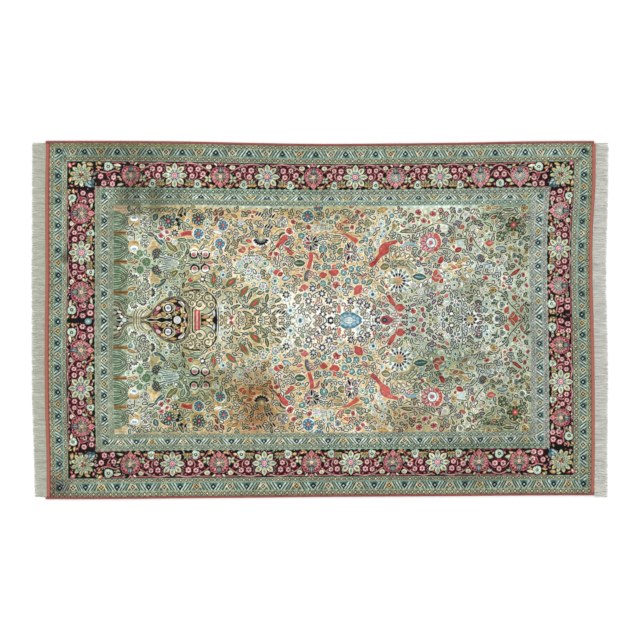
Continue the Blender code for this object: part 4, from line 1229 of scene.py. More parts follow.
def drawMotifs(design):
    pen = Pen(design, twin=True)
    pen.fill(box(468, 247, 490, 271), "mist", "ivory", 3)
    for k in range(6):
        pen.line([(262 + 2 * k, 172 + 5 * k), (290 + 4 * k, 168 + 4 * k), (306 + 4 * k, 148 + 3 * k)],
                 2.2, ("moss", "ivory", "stone", "slate")[k % 4])
    for k in range(4):
        pen.line([(262, 196 + 7 * k), (285, 204 + 9 * k), (310, 196 + 10 * k), (334, 184 + 8 * k)],
                 2.4, ("slate", "ivory", "moss", "ivory")[k])
    pen.at(282, 246, 8).fill(ribbon([(0, 0), (26, 10), (54, 0)], 12, 0.2), "sky", "moss", 1.6)
    for points, size, colour, edge in chains:
        drawChain(pen, points, size, colour, edge)
    drawBranches(pen)
    for u, v, turn, length, width, colour in fieldLeaves:
        leaf(pen.at(u, v, turn), length, width, colour, "bark" if width > 9 else "moss")
    for u, v in ((-560, 245), (-562, 138)):
        triBlob(pen.at(u, v), 23)
    for u, v, radius, petal, shade in ((-593, 331, 17, "mist", "stone"), (-591, 259, 16, "mist", "stone"),
                                       (-612, 97, 14, "sage", "celadon"), (-471, 207, 23, "sage", "celadon"),
                                       (-125, 335, 18, "mist", "lilac"), (165, 335, 15, "rose", "sage"),
                                       (500, 130, 12, "chalk", "mist"),
                                       (330, 60, 11, "mist", "sage"), (365, 115, 11, "chalk", "sage"),
                                       (-575, 62, 15, "celadon", "sage")):
        scaleRound(pen.at(u, v), radius, petal, shade)
    for u, v, radius, dark, heart in ((-511, 332, 23, "teal", "red"), (-410, 341, 22, "teal", "crimson"),
                                      (-550, 224, 16, "teal", "amber"), (-550, 168, 16, "teal", "amber"),
                                      (-521, 195, 14, "blue", "coral"), (540, 52, 13, "slate", "blush"),
                                      (552, 205, 12, "slate", "rose")):
        openFlower(pen.at(u, v, 10), radius, dark, heart)
    for k, turn in enumerate((60, 20, 100, -20, 140)):
        leaf(pen.at(-585, 292, turn), 27, 9, ("slate", "sage", "celadon")[k % 3], "night")
    for k, turn in enumerate((200, 240, 280, 320, 160)):
        leaf(pen.at(-462, 330, turn), 30, 10, ("sage", "leaf", "stone")[k % 3], "night")
    for x, y in ((-482, 338), (-478, 322), (-470, 352), (-455, 356)):
        pen.fill(oval(x, y, 5, 7, 30, 10), "ink")
    pen.fill(lozenge(-460, 342, 9, 9), "gold", "cream", 1.6)
    for k in range(-3, 4):
        sheaf = [(-552 + 4 * abs(k), 194 + 9 * k), (-522, 194 + 6.5 * k), (-478, 194 + 3 * k)]
        pen.line(sheaf, 3.6, ("blue", "teal", "deepTeal")[k % 3], "chalk", 2.4)
    pen.fill(drop(40, 9, 0) + np.array((-446, 194)), "mint", "night", 1.6)
    pen.fill(drop(22, 5, 0) + np.array((-400, 194)), "rose", "maroon", 1.6)
    for u, v, turn in ((-628, 335, 90), (-628, 247, -90)):
        moonBulb(pen.at(u, v, turn), 16)
    for u, v, turn, count, radius in ((-627, 138, 90, 5, 17), (-592, 128, 45, 5, 16), (-572, 92, 0, 6, 18),
                                      (-628, 52, -90, 5, 17), (-597, 60, -60, 5, 14),
                                      (-197, 279, -90, 8, 28)):
        wedgeFan(pen.at(u, v, turn), count, radius * 0.34, radius, 80)
    for u, v, turn in ((-425, 222, 90), (-386, 222, 90), (-422, 172, -90), (-386, 174, -90)):
        cupFlower(pen.at(u, v, turn), 14)
    for u, v, turn, length in fieldBuds:
        bud(pen.at(u, v, turn), length)
    for u, v, radius, kind in fieldFlowers:
        flower(pen.at(u, v, (u * 7 + v * 3) % 45), radius, kind)
    for u, v, heart in beadFlorets:
        dottedRing(pen.at(u, v, (u + v) % 45), 9.0, 8, "ink", heart)
    for u, v, turn in strokes:
        for k in (-1, 0, 1):
            pen.blade(u + 9 * k, v - 2 * k, turn, 22, 7, "ink", "ivory", 2.2, start=-11)
    for u, v, turn, length, width, colour in fieldTouches:
        touch = pen.at(u, v, turn)
        if width > 17:
            maple(touch, length * 1.15, width, colour)
            continue
        dark = "maroon" if colour in ("red", "crimson", "coral", "rose") else "bark"
        touch.fill(grown(blade(length, width), 3.6), "cream")
        touch.fill(blade(length, width), colour, dark, 1.2)
        touch.line([(length * 0.2, 0), (length * 0.7, 0)], 1.3, "apricot" if dark == "maroon" else "cream")
    for u, v in pepper:
        pen.fill(oval(u, v, 3.4, 3.0, sides=8), "ink", "ivory", 1.4)
    for k in range(8):
        petal = pen.at(660, 318, 45 * k)
        petal.fill(blade(22, 11, 0, 6), "leaf" if k % 2 else "moss", "night", 1.8)
        petal.fill(blade(10, 3, 0, 12), "sage")
    pen.fill(scallops(7, 8, 11) + np.array((660, 318)), "coral", "maroon", 1.4)
    pen.fill(oval(660, 318, 4, 4, 0, 8), "blush")
    for u, v, radius in ((622, 284, 15), (690, 298, 12), (560, 348, 11), (606, 352, 10)):
        for k in range(9):
            pen.blade(u, v, 40 * k, radius * 0.62, radius * 0.4, "leaf" if k % 2 else "mint", "night", 1.6,
                      start=radius * 0.5)
        pen.fill(oval(u, v, radius * 0.36, radius * 0.36, 0, 10), "sage", "bark", 1.2)
    darkPalmette(pen.at(-27, 264, 0), 27, 1.0, ((128, 0.8, 7), (52, 0.86, 8), (14, 0.86, 9), (-22, 0.8, 8),
                                                (-92, 0.84, 8), (88, 0.6, 5), (-55, 0.6, 5)))
    darkPalmette(pen.at(108, 233, 0), 23, 1.55, ((112, 0.8, 8), (72, 0.6, 5), (-112, 0.84, 9), (-78, 0.6, 5),
                                                 (0, 0.8, 6), (28, 0.7, 4), (-30, 0.7, 4), (140, 0.5, 6)))
    fanFlower(pen.at(268, 133), 33)
    peony(pen.at(380, 262), 36)
    for k in range(7):
        petal = pen.at(463, 62, 51 * k)
        petal.fill(blade(13, 9, 0, 8), "ink", "chalk", 1.6)
        petal.fill(blade(7, 3, 0, 10), "sky")
    pen.fill(oval(463, 62, 7.5, 7.5), "chalk", "slate", 1.2)
    pen.fill(oval(463, 62, 3.6, 4.6), "red")
    dottedRing(pen.at(408, 58), 8, 7, "navy", "rose")
    # birds and the long red shapes
    bird(pen, [(-148, 250), (-138, 246), (-126, 262), (-134, 270)],
         [(-140, 262), (-128, 280), (-112, 291), (-104, 287), (-106, 276), (-118, 262), (-132, 254)],
         [(-132, 266), (-122, 278), (-112, 286), (-114, 278), (-124, 266)])
    pen.fill(ribbon([(-138, 278), (-130, 292), (-118, 298), (-106, 296)], 8, 0.1), "navy", "cream", 1.6)
    pen.fill(ribbon([(-132, 292), (-122, 298), (-110, 299)], 4, 0.1), "slate")
    pen.fill(ribbon([(-152, 292), (-142, 304), (-128, 309), (-112, 306)], 5, 0.1), "olive", "cream", 1.4)
    flower(pen.at(-101, 303), 12, "berry")
    leaf(pen.at(-116, 258, 22), 27, 12, "teal")
    pen.fill(ribbon([(-91, 226), (-105, 240), (-118, 251)], 12, 0.8), "coral", "maroon", 1.8)
    pen.line([(-110, 243), (-98, 232)], 2.0, "red")
    bird(pen, [(170, 191), (178, 180), (192, 190), (206, 208), (200, 218), (186, 207)],
         [(196, 214), (205, 226), (205, 242), (214, 256), (230, 264), (256, 270), (266, 272), (262, 262),
          (248, 257),
          (237, 250), (238, 236), (230, 226), (214, 218), (204, 208)],
         [(208, 230), (210, 244), (220, 256), (238, 263), (256, 267), (248, 260), (232, 254), (220, 242)])
    bird(pen, [(230, 84), (240, 86), (244, 76), (234, 74)],
         [(234, 82), (242, 80), (252, 66), (259, 50), (252, 50), (242, 58), (234, 70)],
         [(238, 76), (246, 68), (252, 58), (244, 64)])
    pen.fill(ribbon([(128, 267), (114, 279), (94, 290), (76, 294)], 13, 0.8), "red", "amber", 2.2)
    pen.line([(84, 291), (104, 283), (120, 272)], 3.0, "coral")
    bird(pen, [(400, 189), (408, 184), (416, 196), (408, 200)],
         [(404, 194), (410, 208), (420, 222), (430, 224), (432, 214), (424, 202), (414, 192)],
         [(410, 198), (416, 210), (426, 218), (422, 208)], "crimson", "red")
    pen.fill(ribbon([(-470, 286), (-452, 292), (-432, 292)], 14, -0.3), "red", "cream", 2.2)
    pen.line([(-462, 288), (-446, 292)], 2.4, "crimson")
    pen.fill(ribbon([(-26, 232), (-28, 206), (-36, 176)], 14, 0.1), "red", "cream", 2.2)
    pen.line([(-27, 226), (-29, 206), (-35, 182)], 4, "coral")
    pen.fill(ribbon([(-30, 168), (-42, 156), (-44, 134)], 12, 0.3), "slate", "ink", 2.0)
    pen.line([(-32, 162), (-35, 140)], 5, "rose")
    pen.line([(-20, 230), (-6, 222), (-3, 208)], 5, "crimson", "cream", 1.4)
    maple(pen.at(145, 120, -128), 44, 24.8, "red")
    pen.at(145, 120, -128).fill(drop(22, 7.2, 4.8), "coral")
    # the blue plant on the middle line
    pen.fill(ribbon([(70, 6), (92, 20), (118, 16), (140, 0)], 16, 0.2), "blue", "deepTeal", 2.0)
    for x, y in ((78, 8), (90, 15), (104, 17), (118, 12), (130, 5)):
        pen.fill(oval(x, y, 6.5, 6, 0, 12), "sky", "blue", 1.6)
    pen.fill(drop(44, 9, 84), "mist", "teal", 1.4)
    pen.fill(oval(222, 0, 9, 8), "navy", "crimson", 5)
    pen.fill(oval(222, 0, 5, 4), "blue")
    wedgeFan(pen.at(512, 2, 90), 6, 9, 24, 110)
    pen.fill(oval(512, 0, 8, 8), "gold", "cream", 2)
    vase(pen)


def drawChain(pen, points, size, colour, edge):
    # a row of small outlined curls along a line
    line = through(points, 5)
    way = np.concatenate(([0], np.cumsum(np.hypot(*np.diff(line, axis=0).T))))
    count = max(2, round(way[-1] / (size * 1.5)))
    for k in range(count):
        here = way[-1] * (k + 0.5) / count
        x, y = np.interp(here, way, line[:, 0]), np.interp(here, way, line[:, 1])
        ahead = np.interp(here + 2, way, line[:, 0]) - x, np.interp(here + 2, way, line[:, 1]) - y
        turn = math.degrees(math.atan2(ahead[1], ahead[0])) + (62 if k % 2 else 48)
        curl = pen.at(x, y, turn)
        curl.fill(grown(blade(size * 1.7, size * 0.8, size * 0.2, -size * 0.85), 3.2), "ivory")
        curl.fill(blade(size * 1.7, size * 0.8, size * 0.2, -size * 0.85), colour, edge, 2.4)


def drawBranches(pen):
    # thin boughs from each flower back to a neighbour nearer the vase
    root = np.array((-350.0, 0.0))
    places = np.array([(row[0], row[1]) for row in fieldFlowers], float)
    far = np.hypot(*(places - root).T)
    for k, place in enumerate(places):
        gap = np.hypot(*(places - place).T)
        nearer = np.where((far < far[k] - 3) & (gap > 12) & (gap < 95), gap, 1e6)
        if nearer.min() > 1e5:
            continue
        to = places[nearer.argmin()]
        way = to - place
        bow = np.array((-way[1], way[0])) * (0.22 if k % 2 else -0.22)
        pen.line([place, (place + to) / 2 + bow, to], 2.8, "moss", "cream", 2.6)
        middle = (place + to) / 2 + bow * 0.8
        turn = math.degrees(math.atan2(way[1], way[0]))
        for side in (-1, 1):
            leaf(pen.at(middle[0], middle[1], turn + side * 50), 11, 5.5, ("leaf", "sage", "olive")[k % 3],
                 "moss", False)


# Quiet places that stay almost bare: middle and reach
calm = ((372, 345, 62, 32), (528, 142, 20, 20), (480, 258, 12, 12), (-668, 372, 30, 16), (-336, 70, 20, 44),
        (-100, 292, 24, 12), (-180, 300, 40, 14), (300, 330, 20, 20), (560, 330, 24, 20))
fillers = (   # up to which u, the leaf colours, their outlines, the small blossoms and how many of them
    (-440, ("mint", "celadon", "mint", "sage", "ivory"), ("night", "deepTeal", "night", "fern"),
     ("blueEye", "eye", "disc"), 0.14),
    (-60, ("ivory", "cream", "mint", "sage", "straw"), ("night", "bark", "husk", "night"),
     ("disc", "berry", "eye"), 0.1),
    (300, ("ivory", "cream", "mint", "apricot", "sage"), ("night", "bark", "maroon", "deepTeal"),
     ("disc", "berry", "blueEye"), 0.16),
    (560, ("mist", "mint", "chalk", "stone", "lilac"), ("night", "deepTeal", "night", "bark"),
     ("blueEye", "berry", "paleRing"), 0.18),
    (720, ("mint", "stone", "mist", "sage", "leaf"), ("bark", "night", "night", "deepTeal"),
     ("blueEye", "berry", "star"), 0.18),
)


def tendril(pen, reach, turns, colour):
    # a thin line that curls up at its end
    angle = np.linspace(0, turns * 2 * np.pi, 9)
    radius = reach * 0.62 * (1 - 0.09 * np.arange(9))
    coil = np.column_stack((radius * np.cos(angle), radius * np.sin(angle)))
    pen.line(np.vstack(([(reach * 1.1, -reach * 0.9)], coil)), 3.3, colour, "ivory", 2.2)


def drawFillers(design, ground, seed=7):
    # small sprigs wherever the ground still shows
    chance = random.Random(seed)
    pen = Pen(design, twin=True)
    left, right, back, _ = bands["field"]

    def free(u, v, reach):
        _, _, a, b, c, d = design.window(np.array([(u - reach, v - reach), (u + reach, v + reach)]))
        changed = np.abs(design.ink[c:d, a:b] - ground[c:d, a:b]).max(2) > 2
        return 1 - changed.mean() if changed.size else 0

    for reach, tries in ((13.0, 2600), (9.6, 6000), (7.0, 9000), (4.6, 9000)):
        for _ in range(tries):
            u, v = chance.uniform(left + reach, right - reach), chance.uniform(0, back - reach - 6)
            quiet = any(((u - a) / c) ** 2 + ((v - b) / d) ** 2 < 1 for a, b, c, d in calm)
            if u < -648 or quiet and chance.random() < 0.8 or free(u, v, reach) < (0.7 if reach > 5 else 0.8):
                continue
            _, colours, outlines, blossoms, often = next(row for row in fillers if u <= row[0])
            sprig = pen.at(u, v, chance.uniform(0, 360))
            edge, colour = chance.choice(outlines), chance.choice(colours)
            if reach > 9 and chance.random() < often:
                flower(sprig, reach * 0.6, chance.choice(blossoms))
            elif reach > 9 and chance.random() < (0.45 if abs(u + 100) > 400 else 0.2):
                tendril(sprig, reach, chance.choice((0.8, 1.1, -0.8)), edge)
            elif reach > 9:
                bend = chance.uniform(-5, 5)
                stalk = [(-reach, -bend), (-reach * 0.2, bend), (reach * 0.9, -bend)]
                sprig.line(stalk, 2.8, edge, "ivory", 2.4)
                for x, side in ((-0.6, 1), (-0.2, -1), (0.3, 1), (0.7, -1)):
                    twig = sprig.at(reach * x, 0, side * chance.uniform(35, 70))
                    twig.fill(grown(blade(reach * 1.0, reach * 0.36), 4.6), "ivory")
                    twig.fill(blade(reach * 1.0, reach * 0.36), colour, edge, 3.1)
            elif reach > 5:
                shape = blade(reach * 2.4, reach * 0.8, chance.uniform(-2, 2), -reach)
                sprig.fill(grown(shape, 5.2), "ivory")
                sprig.fill(shape, colour, edge, 3.3)
            elif chance.random() < 0.2:
                sprig.fill(oval(0, 0, 3.4, 3.0, sides=8),
                           chance.choice(("crimson", "deepTeal", "amber", "coral")), "cream", 1.4)
            else:
                sprig.fill(blade(reach * 2.2, reach * 0.7, 1.5, -reach), edge, "cream", 1.6)


def drawField(design):
    around = design.ink.copy()
    drawGround(design)
    ground = design.ink.copy()
    drawMotifs(design)
    drawFillers(design, ground)
    # lines that enclose parts of the field
    pen = Pen(design, twin=True)
    for points in ([(296, 299), (318, 297), (350, 306), (372, 318), (400, 328), (430, 326), (452, 312),
                    (462, 294), (464, 272)],
                   [(462, 273), (502, 273), (502, 242)], [(404, 240), (430, 243), (452, 234), (462, 222)],
                   [(520, 286), (534, 258), (552, 236), (580, 214)],
                   [(500, 228), (520, 222), (534, 206), (542, 184)],
                   [(560, 172), (560, 153), (596, 153)],
                   [(606, 96), (628, 84), (640, 64), (655, 42), (690, 6)],
                   [(572, 108), (590, 116), (606, 110), (612, 96)]):
        pen.line(points, 7.0, "ivory")
        pen.line(points, 3.6, "huskGreen")
    # nothing of the field lies over the guard round it
    _, _, left, right, top, bottom = design.window(np.array(bandBox("field")))
    around[top:bottom, left:right] = design.ink[top:bottom, left:right]
    design.ink[:] = around


print("field drawing ready")

# Painted shade where folds and the lie of the nap catch less light, and some wear: soft darker areas over the
# finished drawing
paintedShadeAndWear = (
    (-640, 400, 60, 80, "husk", 0.38), (-555, 400, 40, 90, "husk", 0.38),
    (-610, 480, 60, 70, "husk", 0.22), (-480, 410, 60, 50, "husk", 0.2),
    (-640, 565, 260, 50, "husk", 0.24), (-863, 207, 16, 26, "umber", 0.6),
    (-900, -560, 70, 60, "maroon", 0.3), (480, -540, 280, 40, "husk", 0.14),
    (540, -430, 260, 40, "husk", 0.14), (-640, -480, 300, 70, "husk", 0.06),
    (860, 60, 50, 110, "husk", 0.1), (870, 300, 60, 260, "slate", 0.08),
)
# The same darkening for the field alone, partly painted shade and partly darker ground silk
shading = (
    (520, -110, 100, 80, "stone", 0.28), (520, 110, 90, 70, "stone", 0.26),
    (660, 0, 90, 110, "stone", 0.3), (-485, -107, 80, 60, "sage", 0.3),
    (-344, -217, 80, 80, "stone", 0.36), (-485, 223, 80, 60, "sage", 0.1),
    (530, 60, 140, 110, "stone", 0.14), (361, 333, 100, 60, "sand", 0.26),
    (-210, -40, 110, 110, "sand", 0.26), (-485, 160, 110, 110, "sage", 0.36),
    (-400, -330, 190, 70, "sand", 0.3), (0, 340, 200, 60, "sand", 0.26),
    (-344, 120, 100, 80, "celadon", 0.2), (520, 300, 100, 80, "sage", 0.2),
    (-640, 150, 60, 120, "sage", 0.24), (640, 430, 200, 60, "huskGreen", 0.14),
    (-560, -160, 60, 100, "celadon", 0.3), (640, -400, 260, 60, "olive", 0.1),
    (670, 340, 100, 90, "huskGreen", 0.14), (670, -340, 100, 90, "olive", 0.14),
    (-690, 300, 40, 140, "fern", 0.16), (-690, 0, 34, 340, "fern", 0.12),
    (-690, -300, 40, 140, "fern", 0.12), (-600, 0, 90, 420, "celadon", 0.1),
    (-450, -210, 120, 130, "celadon", 0.46), (-310, -240, 120, 100, "olive", 0.2),
    (-210, -240, 90, 120, "amber", 0.6), (720, 0, 110, 420, "celadon", 0.3),
    (640, 220, 90, 110, "stone", 0.2), (620, -210, 130, 110, "stone", 0.3),
    (400, -160, 140, 120, "celadon", 0.5), (-210, -340, 120, 60, "amber", 0.4),
    (300, -340, 160, 90, "amber", 0.35), (-430, 370, 300, 40, "sand", 0.3),
    (0, 375, 300, 30, "sage", 0.4), (560, -340, 160, 90, "sage", 0.3), (290, 0, 110, 120, "sky", 0.22),
)
# Silks that lie a shade apart: left, low, right, high, colour, strength
tints = (
    (-899, -575, -874, 578, "huskGreen", 0.09), (878, -575, 903, 578, "huskGreen", 0.06),
    (-899, 553, 903, 578, "huskGreen", 0.06), (-899, -575, 903, -549, "huskGreen", 0.06),
    (-759, -437, -741, 443, "guard", 0.6), (-716, -400, -698, 407, "guard", 0.6),
    (-741, -437, 0, -419.5, "guard", 0.45), (-716, -400, 0, -382, "guard", 0.45),
    (0, 424, 757, 443, "blush", 0.12), (0, 388, 732, 407, "frost", 0.2),
    (757, -437, 774, 443, "lilac", 0.3), (715, -400, 732, 407, "lilac", 0.3),
    (732, -419, 757, 424, "mist", 0.14), (757, -437, 774, 443, "guardPale", 0.14),
    (715, -400, 732, 407, "guardPale", 0.2), (0, 552, 878, 594, "frost", 0.1),
    (857, 0, 878, 531, "frost", 0.2), (0, -400, 732, -382, "blush", 0.1),
    (-716, 388, 0, 407, "guard", 0.3), (-872, 0, -856, 531, "guardPale", 0.14),
    (-914, 577, -400, 594, "olive", 0.3), (-872, -531, -856, 531, "guardPale", 0.08),
)
# Paler places of the field: u, v, across, up, strength
lights = (
    (-60, 90, 90, 110, 0.14), (-70, -90, 90, 80, 0.16), (80, 0, 120, 90, 0.14), (-60, 0, 100, 80, 0.2),
    (90, 120, 90, 60, 0.12), (220, 0, 90, 70, 0.16), (230, -210, 90, 60, 0.1),
    (20, -100, 120, 50, 0.08), (230, -270, 90, 110, 0.06), (-640, -120, 60, 160, 0.06),
)
# The dyed silk stands a little further apart than the dyes themselves
contrast = dict(gain=1.15, about=(152, 147, 130))
# Over how many millimetres the silk's shade wanders, and how strongly
mottle = ((4.5, 0.085), (11, 0.05), (46, 0.035))


def paintShadeAndTone(design, seed=5):
    # painted shade of folds and the nap, with some wear, darkens parts of the whole rug
    for u, v, across, up, colour, share in paintedShadeAndWear:
        design.wash(u, v, across, up, colour, share, deepen=True)
    # the field's darkening, partly painted shade and partly darker ground silk
    for u, v, across, up, colour, *shares in shading:
        for hand, share in zip((1, -1), shares):
            design.wash(u, v * hand, across, up, colour, share, bandBox("field"), deepen=True)
    for left, low, right, high, colour, share in tints:
        design.wash((left + right) / 2, (low + high) / 2, 3000, 3000, colour, share,
                    box(left, low, right, high))
    for u, v, across, up, share in lights:
        design.wash(u, v, across, up, "chalk", share, bandBox("field"))
    middle = np.array(contrast["about"], np.float32)
    design.ink += (design.ink - middle) * (contrast["gain"] - 1)
    np.clip(design.ink, 4, 250, out=design.ink)
    chance = np.random.default_rng(seed)
    rows, cols = design.ink.shape[:2]
    for reach, strength in mottle:
        each = reach / design.step
        coarse = chance.normal(0, 1, (int(rows / each) + 3, int(cols / each) + 3)).astype(np.float32)
        row, col = np.arange(rows) / each, np.arange(cols) / each
        r, c = row.astype(int), col.astype(int)
        across = coarse[:, c] * (1 - (col - c)) + coarse[:, c + 1] * (col - c)
        field = across[r] * (1 - (row - r))[:, None] + across[r + 1] * (row - r)[:, None]
        design.ink *= (1 + strength * field)[..., None].astype(np.float32)
    np.clip(design.ink, 0, 255, out=design.ink)


# The pile as a mesh, in long strips: each quad carries the dyes of two knots by two
pile = dict(
    strips=5,
    quad=2.5,
    top=6.0,
    edgeRound=1.1,
    underside=0.9,
    sway=0.22,
    light=0.86,      # how much paler the studio's light makes every dye
)


def insetPlace(s, t, atEnds, atSides):
    # from shares of the length and width to a place on the rug, kept in from its real edges
    x = (s - 0.5) * rug["length"]
    y = (t - 0.5) * rug["width"]
    for _ in range(3):
        left = -edgeOf("left", 2 * y / rug["width"]) + atEnds
        right = edgeOf("right", 2 * y / rug["width"]) - atEnds
        front = -edgeOf("front", 2 * x / rug["length"]) + atSides
        back = edgeOf("back", 2 * x / rug["length"]) - atSides
        x = left + s * (right - left)
        y = front + t * (back - front)
    return x, y


def inDesign(x, y):
    # from a place on the rug to its place in the drawing
    left, right = -edgeOf("left", 2 * y / rug["width"]), edgeOf("right", 2 * y / rug["width"])
    front, back = -edgeOf("front", 2 * x / rug["length"]), edgeOf("back", 2 * x / rug["length"])
    u = ((x - left) / (right - left) - 0.5) * rug["length"]
    v = ((y - front) / (back - front) - 0.5) * rug["width"]
    return u, v


def dyesAt(knots, u, v):
    rows, cols = knots.shape[:2]
    col = np.clip(((u / rug["length"] + 0.5) * cols).astype(int), 0, cols - 1)
    row = np.clip(((0.5 - v / rug["width"]) * rows).astype(int), 0, rows - 1)
    return knots[row, col]


def linear(colour):
    colour = np.clip(np.asarray(colour, float) / 255, 0, 1)
    return np.where(colour <= 0.04045, colour / 12.92, ((colour + 0.055) / 1.055) ** 2.4)


def clothGrid(name, columns, rows, spanS, spanT, atEnds, atSides, height, knots):
    # a grid laid over a part of the rug and dyed from the drawing
    bm = bmesh.new()
    bmesh.ops.create_grid(bm, x_segments=columns, y_segments=rows, size=0.5)
    mesh = bpy.data.meshes.new(name)
    bm.to_mesh(mesh)
    bm.free()
    place = np.zeros(len(mesh.vertices) * 3)
    mesh.vertices.foreach_get("co", place)
    place = place.reshape(-1, 3)
    share = place[:, :2] + 0.5
    s = spanS[0] + share[:, 0] * (spanS[1] - spanS[0])
    t = spanT[0] + share[:, 1] * (spanT[1] - spanT[0])
    x, y = insetPlace(s, t, atEnds, atSides)
    place[:, 0], place[:, 1], place[:, 2] = x, y, height(x, y, s, t)
    mesh.vertices.foreach_set("co", (place * mm).ravel())
    corner = np.zeros(len(mesh.loops), int)
    mesh.loops.foreach_get("vertex_index", corner)
    cornerPlace = place[corner, :2].reshape(-1, 4, 2)
    inset = cornerPlace.mean(1, keepdims=True) + 0.5 * (cornerPlace - cornerPlace.mean(1, keepdims=True))
    u, v = inDesign(inset[..., 0].ravel(), inset[..., 1].ravel())
    dye = np.ones((len(u), 4), np.float32)
    dye[:, :3] = linear(dyesAt(knots, u, v)) * pile["light"]
    layer = mesh.color_attributes.new("silk", "FLOAT_COLOR", "CORNER")
    layer.data.foreach_set("color", dye.ravel())
    mesh.update()
    return mesh


def closeBelow(mesh, level):
    # draws the rim of a grid down, or up, to a level and closes it there
    bm = bmesh.new()
    bm.from_mesh(mesh)
    rim = [edge for edge in bm.edges if edge.is_boundary]
    drawn = bmesh.ops.extrude_edge_only(bm, edges=rim)["geom"]
    lower = [part for part in drawn if isinstance(part, bmesh.types.BMVert)]
    for vert in lower:
        vert.co.z = level * mm
    bmesh.ops.contextual_create(bm, geom=[edge for edge in bm.edges if edge.is_boundary])
    bmesh.ops.recalc_face_normals(bm, faces=bm.faces[:])
    bm.to_mesh(mesh)
    bm.free()


def newPiece(name, mesh, finish):
    piece = bpy.data.objects.new(name, mesh)
    bpy.context.scene.collection.objects.link(piece)
    mesh.materials.clear()
    mesh.materials.append(finish)
    mesh.shade_smooth()
    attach(piece, "root")
    return piece


def spun(name, lines, thickness, roundness):
    # threads laid as curves, each with its own places and thicknesses, made into one mesh
    curve = bpy.data.curves.new(name, "CURVE")
    curve.dimensions = "3D"
    curve.bevel_depth = thickness * mm
    curve.bevel_resolution = roundness
    curve.use_fill_caps = True
    for places, widths in lines:
        thread = curve.splines.new("POLY")
        thread.points.add(len(places) - 1)
        flat = np.column_stack((places * mm, np.ones(len(places))))
        thread.points.foreach_set("co", flat.ravel())
        thread.points.foreach_set("radius", widths)
    laid = bpy.data.objects.new(name, curve)
    mesh = bpy.data.meshes.new_from_object(laid)
    bpy.data.objects.remove(laid)
    bpy.data.curves.remove(curve)
    return mesh


class Wire:
    # a shader socket that ordinary arithmetic works on
    def __init__(self, finish, socket):
        self.finish, self.socket = finish, socket

    def sum(self, operation, other):
        return self.finish.node("ShaderNodeMath", dict(operation=operation), {0: self, 1: other})

    def __add__(self, other):
        return self.sum("ADD", other)

    def __mul__(self, other):
        return self.sum("MULTIPLY", other)


class Finish:
    # one material and its nodes
    def __init__(self, name, settings):
        self.material = bpy.data.materials.new(name)
        self.material.use_nodes = True
        self.tree = self.material.node_tree
        self.shader = self.tree.nodes["Principled BSDF"]
        for socket, value in settings.items():
            self.give(self.shader.inputs[socket], value)

    def give(self, socket, value):
        if isinstance(value, Wire):
            self.tree.links.new(value.socket, socket)
        else:
            socket.default_value = value

    def node(self, kind, settings, inputs, out=0):
        made = self.tree.nodes.new(kind)
        for name, value in settings.items():
            setattr(made, name, value)
        for name, value in inputs.items():
            self.give(made.inputs[name], value)
        return Wire(self, made.outputs[out])

    def coords(self):
        return self.node("ShaderNodeTexCoord", {}, {}, "Object")

    def noise(self, scale, detail=2.0, stretch=(1, 1, 1)):
        laid = self.node("ShaderNodeMapping", {}, {"Vector": self.coords(), "Scale": stretch})
        return self.node("ShaderNodeTexNoise", {}, {"Vector": laid, "Scale": scale, "Detail": detail})

    def ridges(self, across, spacing):
        # fine cords side by side along an axis, from 0 to 1
        laid = self.node("ShaderNodeSeparateXYZ", {}, {0: self.coords()}, across)
        return self.node("ShaderNodeMath", dict(operation="SINE"),
                         {0: laid * (2 * math.pi / spacing)}) * 0.5 + 0.5

    def tinted(self, colour, amount, low=0.0, high=2.0):
        # a colour made darker and lighter by a value about one half
        factor = self.node("ShaderNodeMapRange", {}, {0: amount, 1: 0.25, 2: 0.75, 3: low, 4: high})
        return self.node("ShaderNodeVectorMath", dict(operation="SCALE"), {0: colour, "Scale": factor})

    def raised(self, height, distance, strength=1.0):
        bump = self.node("ShaderNodeBump", {}, {"Height": height, "Distance": distance, "Strength": strength})
        self.give(self.shader.inputs["Normal"], bump)

    def colour(self, value):
        self.give(self.shader.inputs["Base Color"], value)


silkFinish = {"Roughness": 0.5, "Specular IOR Level": 0.12, "Sheen Weight": 0.06, "Sheen Roughness": 0.4}

knotted = Finish("knottedSilk", silkFinish)
dyed = knotted.node("ShaderNodeAttribute", dict(attribute_name="silk", attribute_type="GEOMETRY"), {},
                    "Color")
knotted.colour(knotted.tinted(dyed, knotted.noise(900, 1.0), 0.86, 1.14))
knotted.raised(knotted.noise(1100, 1.0), 0.0004, 0.5)

webbed = Finish("knottedBack", dict(silkFinish, Roughness=0.75))
dyed = webbed.node("ShaderNodeAttribute", dict(attribute_name="silk", attribute_type="GEOMETRY"), {}, "Color")
# painted shade: the colour is darker in the grooves between the cords and paler on their crests, following
# the bump
webbed.colour(webbed.tinted(dyed, webbed.ridges("X", 0.0024) * 0.5 + webbed.ridges("Y", 0.0018) * 0.5, 0.8,
                            1.15))
webbed.raised(webbed.ridges("X", 0.0024) * webbed.ridges("Y", 0.0018), 0.0003, 0.6)

coralSilk, overcastSilk = tuple(linear((168, 102, 88))), tuple(linear((146, 82, 76)))
bound = Finish("overcastSilk", silkFinish)
bound.colour(bound.tinted(overcastSilk, bound.noise(26, 4.0, (1, 6, 6)), 0.7, 1.22))
bound.raised(bound.ridges("X", 0.0016), 0.0003, 0.5)

woven = Finish("flatWovenSilk", dict(silkFinish, Roughness=0.6))
# partly painted shade, darker in the grooves between the weft cords that the bump raises, and partly the
# silk's random tone
woven.colour(woven.tinted(coralSilk, woven.noise(70, 4.0, (6, 1, 6)) * 0.7 + woven.ridges("Y",
    0.0022) * 0.3, 0.78, 1.22))
woven.raised(woven.ridges("Y", 0.0022) * 0.6 + woven.ridges("X", 0.0014) * 0.4, 0.0004, 0.6)


